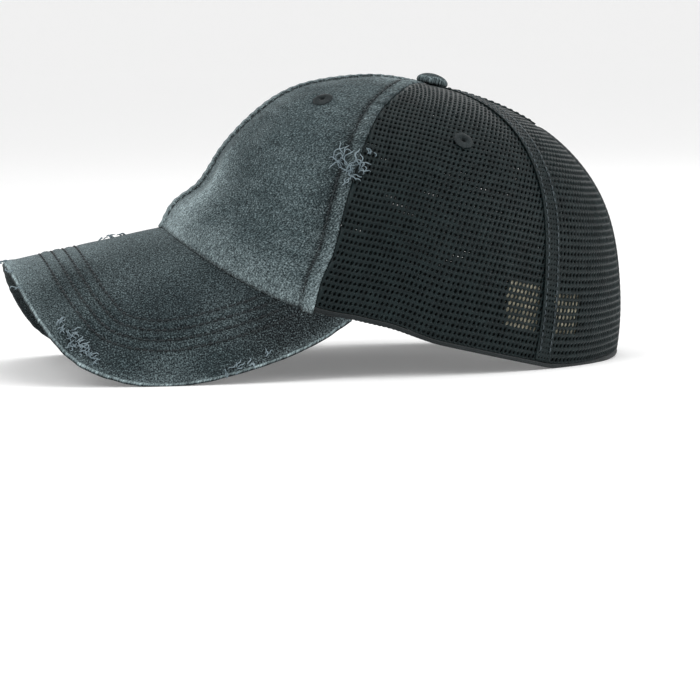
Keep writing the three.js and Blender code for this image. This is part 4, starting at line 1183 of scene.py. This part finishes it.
def closure():
    """Webbing strap through the opening, with a hook tab under its free end."""
    tab_depth = -0.3 - TAB_THICKNESS
    outside = tab_depth - 0.3 - STRAP_THICKNESS
    inside = (MESH_WALL + BINDING_THICKNESS) / 2 + 0.3
    crossing = SLIT_HALF_WIDTH_AT_HEM - BINDING_CLEARANCE - BINDING_WIDTH
    for name, margin, start, end, columns in (
            ("closure_strap", 0.0, STRAP_SEWN_LENGTH, -STRAP_FREE_LENGTH, 200),
            ("closure_tab", TAB_MARGIN, -SLIT_HALF_WIDTH_AT_HEM - BINDING_CLEARANCE - TAB_MARGIN,
             -STRAP_FREE_LENGTH + TAB_MARGIN, 110)):
        height = np.linspace(margin, STRAP_WIDTH - margin, 37)
        ups = up_at(REAR_LENGTH, STRAP_ABOVE_HEM + height)
        place = np.linspace(start, end, columns)[None, :]
        angles = math.pi - place / girth(math.pi, ups)[:, None]
        along = place + 0 * angles
        tall = height[:, None] + 0 * angles
        uv = np.stack([along, tall], -1)
        if margin:
            hooks = 0.16 * np.maximum(np.sin(along * 2 * math.pi / 1.3) * np.sin(
                tall * 2 * math.pi / 1.3), 0)
            piece = crown_cloth(name + "_hooks", angles, ups[:, None] + 0 * angles,
                                tab_depth + 0.18 - hooks,
                                TAB_THICKNESS - 0.2 + hooks, uv)
            finish_piece(piece, HOOKS, "trim", name)
            continue
        passed = smooth(-along, -crossing, crossing)
        depth = inside + (outside - inside) * passed
        rib = 0.07 * np.sin((along + tall) * 2 * math.pi / 1.6)
        selvedge = 0.14 * np.exp(-(np.minimum(tall, STRAP_WIDTH - tall) / 0.8) ** 2)
        piece = crown_cloth(name + "_webbing", angles, ups[:, None] + 0 * angles,
                            depth + rib + selvedge,
                            STRAP_THICKNESS - 2 * rib - 2 * selvedge, uv)
        finish_piece(piece, WEBBING, "trim", name)
        lines = []
        for level in (2.2, STRAP_WIDTH - 2.2):
            run = np.linspace(-16, -STRAP_FREE_LENGTH + 2.5, 200)
            up = up_at(REAR_LENGTH, np.full(200, STRAP_ABOVE_HEM + level))
            turn = math.pi - run / girth(math.pi, up)
            lines.append((layer(turn, up, np.full(200, outside - 0.05)), crown_normal(turn, up)))
        stitches("closure_stitches", lines, GREY_THREAD, "stitching", width=0.55, rise=0.35)


def eyelet(which, side):
    """Ring of satin stitches round a ventilation hole, standing on both faces."""
    name = sided(which + "_eyelet", side)
    angle, up = math.radians(EYELETS[which][0]), EYELETS[which][1]
    back = (COTTON_WALL if which == "front" else MESH_WALL) + 0.8
    over = [(1.15, 0.0), (1.25, 0.62), (1.6, 0.98), (2.2, 1.12), (2.9, 1.06), (3.6, 0.84),
            (4.1, 0.5), (4.3, 0.2)]
    profile = over + [(3.9, -0.05), (2.2, -0.1), (2.1, -back)] + [
        (r * 0.92, -back - 0.15 - 0.5 * h) for r, h in over[::-1]]
    threads = 46
    steps = threads * 4
    turn = np.arange(steps) * 2 * math.pi / steps
    uneven = np.repeat(np.random.default_rng(int(angle * 100)).normal(0, 1, threads), 4)
    normal = crown_normal(angle, up)
    east = np.cross(np.array([0.0, 0.0, 1.0]), normal)
    east /= np.linalg.norm(east)
    north = np.cross(normal, east)
    centre = crown(angle, up)
    points = []
    for k, (r, h) in enumerate(profile):
        ripples = 0.10 * np.cos(turn * threads) if k < 7 else 0 * turn
        wide = r + (0.13 * uneven if k in (5, 6, 7) else 0)
        high = h + ripples
        points.append(centre + east * (wide * np.cos(turn))[:, None]
                      + north * (wide * np.sin(turn))[:, None] + normal * high[:, None])
    net = np.array(points)
    net[..., 0] *= side
    rows = len(profile)
    index = np.arange(rows * steps).reshape(rows, steps)
    a, b = index, np.roll(index, -1, axis=0)
    c, d = np.roll(b, -1, axis=1), np.roll(a, -1, axis=1)
    faces = np.stack([a, b, c, d] if side < 0 else [d, c, b, a], -1).reshape(-1, 4)
    piece = make_mesh(name + "_satin", net.reshape(-1, 3), faces)
    return finish_piece(piece, EYELET_THREAD[which], "stitching", name)


def button():
    """Cloth-covered dome with small gathers at its rim, its shank and its washer."""
    under = -COTTON_WALL - 0.3
    shares = np.r_[np.linspace(0.0, 0.9, 16), 0.95, 0.985, 1.0]
    dome = [(BUTTON_RADIUS * s, 0.3 + BUTTON_HEIGHT * (0.28 + 0.72 * math.sqrt(1 - s * s)))
            for s in shares]
    profile = dome + [(6.88, 1.2), (6.7, 0.75), (6.3, 0.42), (5.2, 0.3), (2.4, 0.3), (2.4, under),
                      (5.5, under), (5.6, under - 0.4), (5.5, under - 0.8), (0.0, under - 0.8)]
    steps = 120
    turn = np.arange(steps) * 2 * math.pi / steps
    net = []
    for k, (r, h) in enumerate(profile):
        gather = 0.06 * np.sin(turn * 26) if 15 <= k <= 22 else 0 * turn
        soft = 0.05 * np.sin(turn * 3 + 1) * (k < 18)
        net.append(np.stack([(r + gather) * np.cos(turn), (r + gather) * np.sin(turn),
                             CROWN_HEIGHT + h + soft + 0 * turn], -1))
    net = np.array(net)
    rows = len(profile)
    index = np.arange(rows * steps).reshape(rows, steps)
    a, b = index[:-1], index[1:]
    c, d = np.roll(b, -1, axis=1), np.roll(a, -1, axis=1)
    faces = np.stack([a, b, c, d], -1).reshape(-1, 4)
    flat = net[..., :2].reshape(-1, 2)
    rim = np.array([0.05 + 0.25 * math.exp(-((r - 6.2) / 0.9) ** 2) * (k < 20)
                    for k, (r, _) in enumerate(profile)])
    # Painted shade: darkens the rim gathers, and more strongly the underside, shank and washer.
    dark = np.array([0.9 if k > 20 else 0.35 * (k > 17) for k in range(rows)])
    piece = make_mesh("button_cloth", net.reshape(-1, 3), faces, flat,
                      {"wear": np.repeat(rim, steps), "shade": np.repeat(dark, steps)})
    weld = piece.modifiers.new("weld", "WELD")
    weld.merge_threshold = 0.00002
    return finish_piece(piece, COTTON_DARK, "cotton", "button")


def crown_stitches():
    ups = np.linspace(0.02, TIP_UP - 0.02, 900)
    cotton, net = [], []
    for side in (1, -1):
        cotton.append(crown_line(lambda up: (CENTRE_RIDGE + 0.5) / girth(0.0, up), ups, 0.15, side))
        cotton.append(crown_line(lambda up: front_seam(up) - (SEAM_STRIP + 0.4) / girth(
            front_seam(up), up), ups, 0.12, side))
        for offset in (-2.8, 2.8):
            net.append(crown_line(lambda up, o=offset: rear_seam(up) + o / girth(
                rear_seam(up), up), ups, 0.66, side))
    above = np.linspace(float(up_at(REAR_LENGTH, SLIT_TOP + 4)), TIP_UP - 0.02, 200)
    for offset in (-2.5, 2.5):
        net.append(crown_line(lambda up, o=offset: math.pi + o / girth(math.pi, up), above, 0.66))
    stitches("crown_stitches", cotton, DARK_THREAD, "stitching", width=0.6, rise=0.45)
    stitches("mesh_stitches", net, GREY_THREAD, "stitching", width=0.62, rise=0.5)


# Frayed threads

def fray(name, anchors, material, seed, radius=0.24):
    """Loose curling threads. anchors: (place, normal, direction, count, length)."""
    draws = np.random.default_rng(seed)
    points, faces = [], []
    ring, rows = 5, 12
    for place, normal, direction, count, length in anchors:
        side = np.cross(normal, direction)
        for _ in range(count):
            size = length * draws.uniform(0.55, 1.2)
            heading = draws.uniform(-0.7, 0.7)
            bend = draws.normal(0, 1.7)
            wave = draws.uniform(0, 6.3)
            start = place + side * draws.normal(0, 1.4) + direction * draws.normal(0, 0.8)
            at, path = start - normal * 0.35, []
            for k in range(rows):
                path.append(at)
                s = k / (rows - 1)
                turn = heading + bend * s + 0.5 * math.sin(wave + 9 * s)
                lift = 0.55 * math.cos(3.0 * s) + 0.12
                step = direction * math.cos(turn) + side * math.sin(turn) + normal * lift
                at = at + step / np.linalg.norm(step) * size / rows
            path = np.array(path)
            tangent = np.gradient(path, axis=0)
            tangent /= np.linalg.norm(tangent, axis=1, keepdims=True)
            u = np.cross(tangent, normal + 0.01)
            u /= np.linalg.norm(u, axis=1, keepdims=True)
            v = np.cross(tangent, u)
            first = len(points)
            for k in range(rows):
                thick = radius * (1.0 if k < rows - 2 else 0.55)
                for q in range(ring):
                    a = q * 2 * math.pi / ring + k * 0.5
                    points.append(path[k] + (u[k] * math.cos(a) + v[k] * math.sin(a)) * thick)
            for k in range(rows - 1):
                for q in range(ring):
                    a, b = first + k * ring + q, first + k * ring + (q + 1) % ring
                    faces.append((a, b, b + ring, a + ring))
            faces.append(tuple(first + q for q in range(ring - 1, -1, -1)))
            faces.append(tuple(first + (rows - 1) * ring + q for q in range(ring)))
    return finish_piece(make_mesh(name, np.array(points), faces), material, "cotton")


def crown_anchor(angle, up, lean, count, length, lift=0.6):
    """Tuft on the crown; lean turns its direction from straight down towards the back."""
    angle = math.radians(angle)
    normal = crown_normal(angle, up)
    east = crown(angle + 0.01, up) - crown(angle - 0.01, up)
    east /= np.linalg.norm(east)
    down = crown(angle, up - 0.01) - crown(angle, up + 0.01)
    down /= np.linalg.norm(down)
    turn = math.radians(lean)
    return (crown(angle, up) + normal * lift, normal,
            down * math.cos(turn) + east * math.sin(turn), count, length)


def visor_anchor(along, forward, lean, count, length, lift=0.3):
    """Tuft on the peak at a place of its pattern; lean is its direction there."""
    place = np.array([float(along), float(forward)])
    turn = math.radians(lean)
    here = visor_point(place, -lift)
    ahead = visor_point(place + 0.5 * np.array([math.sin(turn), math.cos(turn)]), -lift)
    direction = (ahead - here) / np.linalg.norm(ahead - here)
    normal = here - visor_point(place, 1.0)
    return here, normal / np.linalg.norm(normal), direction, count, length


def frays():
    fray("seam_fray", [crown_anchor(*row) for row in SEAM_FRAYS], PALE_THREAD, 41)
    fray("peak_fray", [visor_anchor(*row) for row in PEAK_FRAYS], PALE_THREAD, 42)


for build in (front_panel, side_panel, rear_panel):
    build(1)
    build(-1)
visor()
rear_seam_band(1)
rear_seam_band(-1)
centre_back_band()
for build in (hem_edge, seam_tape):
    build(1)
    build(-1)
inner_patch()
sweatband()
opening_binding()
closure()
for which in EYELETS:
    eyelet(which, 1)
    eyelet(which, -1)
button()
crown_stitches()
frays()


# Floor, light and camera

def floor_and_light():
    mesh = bpy.data.meshes.new("floor")
    flat_radius, bend = 6.0, 3.0
    profile = [(0.0, 0.0), (flat_radius, 0.0)] + [
        (flat_radius + bend * math.sin(turn), bend - bend * math.cos(turn))
        for turn in np.linspace(0.1, math.pi / 2, 16)]
    around = 96
    turns = np.linspace(0, 2 * math.pi, around, endpoint=False)
    points = [(0, 0, 0)] + [(r * math.cos(a), r * math.sin(a), z)
                            for r, z in profile[1:] for a in turns]
    faces = [(0, 1 + k, 1 + (k + 1) % around) for k in range(around)]
    for ring in range(len(profile) - 2):
        for k in range(around):
            a, b = 1 + ring * around + k, 1 + ring * around + (k + 1) % around
            faces.append((a, a + around, b + around, b))
    mesh.from_pydata(points, [], faces)
    mesh.polygons.foreach_set("use_smooth", [True] * len(mesh.polygons))
    floor = bpy.data.objects.new("floor", mesh)
    bpy.context.scene.collection.objects.link(floor)
    material, _, shader = new_material("pale_floor")
    shader.inputs["Base Color"].default_value = (0.86, 0.86, 0.86, 1)
    shader.inputs["Roughness"].default_value = 0.9
    shader.inputs["Emission Color"].default_value = (1, 1, 1, 1)
    shader.inputs["Emission Strength"].default_value = 0.16
    mesh.materials.append(material)
    world = bpy.data.worlds.new("studio")
    world.use_nodes = True
    world.node_tree.nodes["Background"].inputs["Color"].default_value = (1, 1, 1, 1)
    world.node_tree.nodes["Background"].inputs["Strength"].default_value = 0.80
    bpy.context.scene.world = world
    lamps = (
        ("key", (0.9, -1.1, 1.3), 1.0, 8.0),
        ("over", (0.1, 0.3, 1.7), 1.4, 7.0),
        ("fill", (0.9, 1.6, 0.8), 1.0, 9.0),
        ("back", (-1.2, 0.9, 1.0), 1.0, 3.0),
    )
    for name, place, size, power in lamps:
        lamp = bpy.data.lights.new(name, "AREA")
        lamp.shape = "DISK"
        lamp.size = size
        lamp.energy = power
        holder = bpy.data.objects.new(name, lamp)
        bpy.context.scene.collection.objects.link(holder)
        holder.location = place
        aim = Vector((0, 0, 0.06)) - holder.location
        holder.rotation_euler = aim.to_track_quat("-Z", "Y").to_euler()


def camera():
    """Camera at the photograph's angle, with the cap at its place in the picture."""
    az, el, roll = CAMERA_AZIMUTH, CAMERA_ELEVATION, CAMERA_ROLL
    back = np.array([math.cos(az) * math.cos(el), -math.sin(az) * math.cos(el), math.sin(el)])
    right = np.array([math.sin(az), math.cos(az), 0.0])
    up = np.cross(back, right)
    turned_right = right * math.cos(roll) + up * math.sin(roll)
    turned_up = up * math.cos(roll) - right * math.sin(roll)
    focal = CAMERA_DISTANCE / MM_PER_PIXEL
    dx = TARGET_PIXEL[0] - FRAME_PIXELS / 2
    dy = TARGET_PIXEL[1] - FRAME_PIXELS / 2
    aim = -back * focal - turned_right * dx + turned_up * dy
    aim /= np.linalg.norm(aim)
    side = np.cross(aim, turned_up)
    side /= np.linalg.norm(side)
    top = np.cross(side, aim)
    origin = to_row(np.zeros(3))
    axes = [to_row(axis) - origin for axis in (side, top, -aim)]
    axes = [axis / np.linalg.norm(axis) for axis in axes]
    place = to_row(CAMERA_TARGET + back * CAMERA_DISTANCE)
    data = bpy.data.cameras.new("photo_camera")
    data.sensor_width = SENSOR
    data.lens = SENSOR * focal / FRAME_PIXELS
    data.clip_end = 50
    holder = bpy.data.objects.new("photo_camera", data)
    matrix = Matrix([[*(axes[k][row] for k in range(3)), place[row]] for row in range(3)]
                    + [[0, 0, 0, 1]])
    holder.matrix_world = matrix
    bpy.context.scene.collection.objects.link(holder)
    bpy.context.scene.camera = holder


floor_and_light()
camera()
bpy.context.scene.view_settings.view_transform = "Standard"
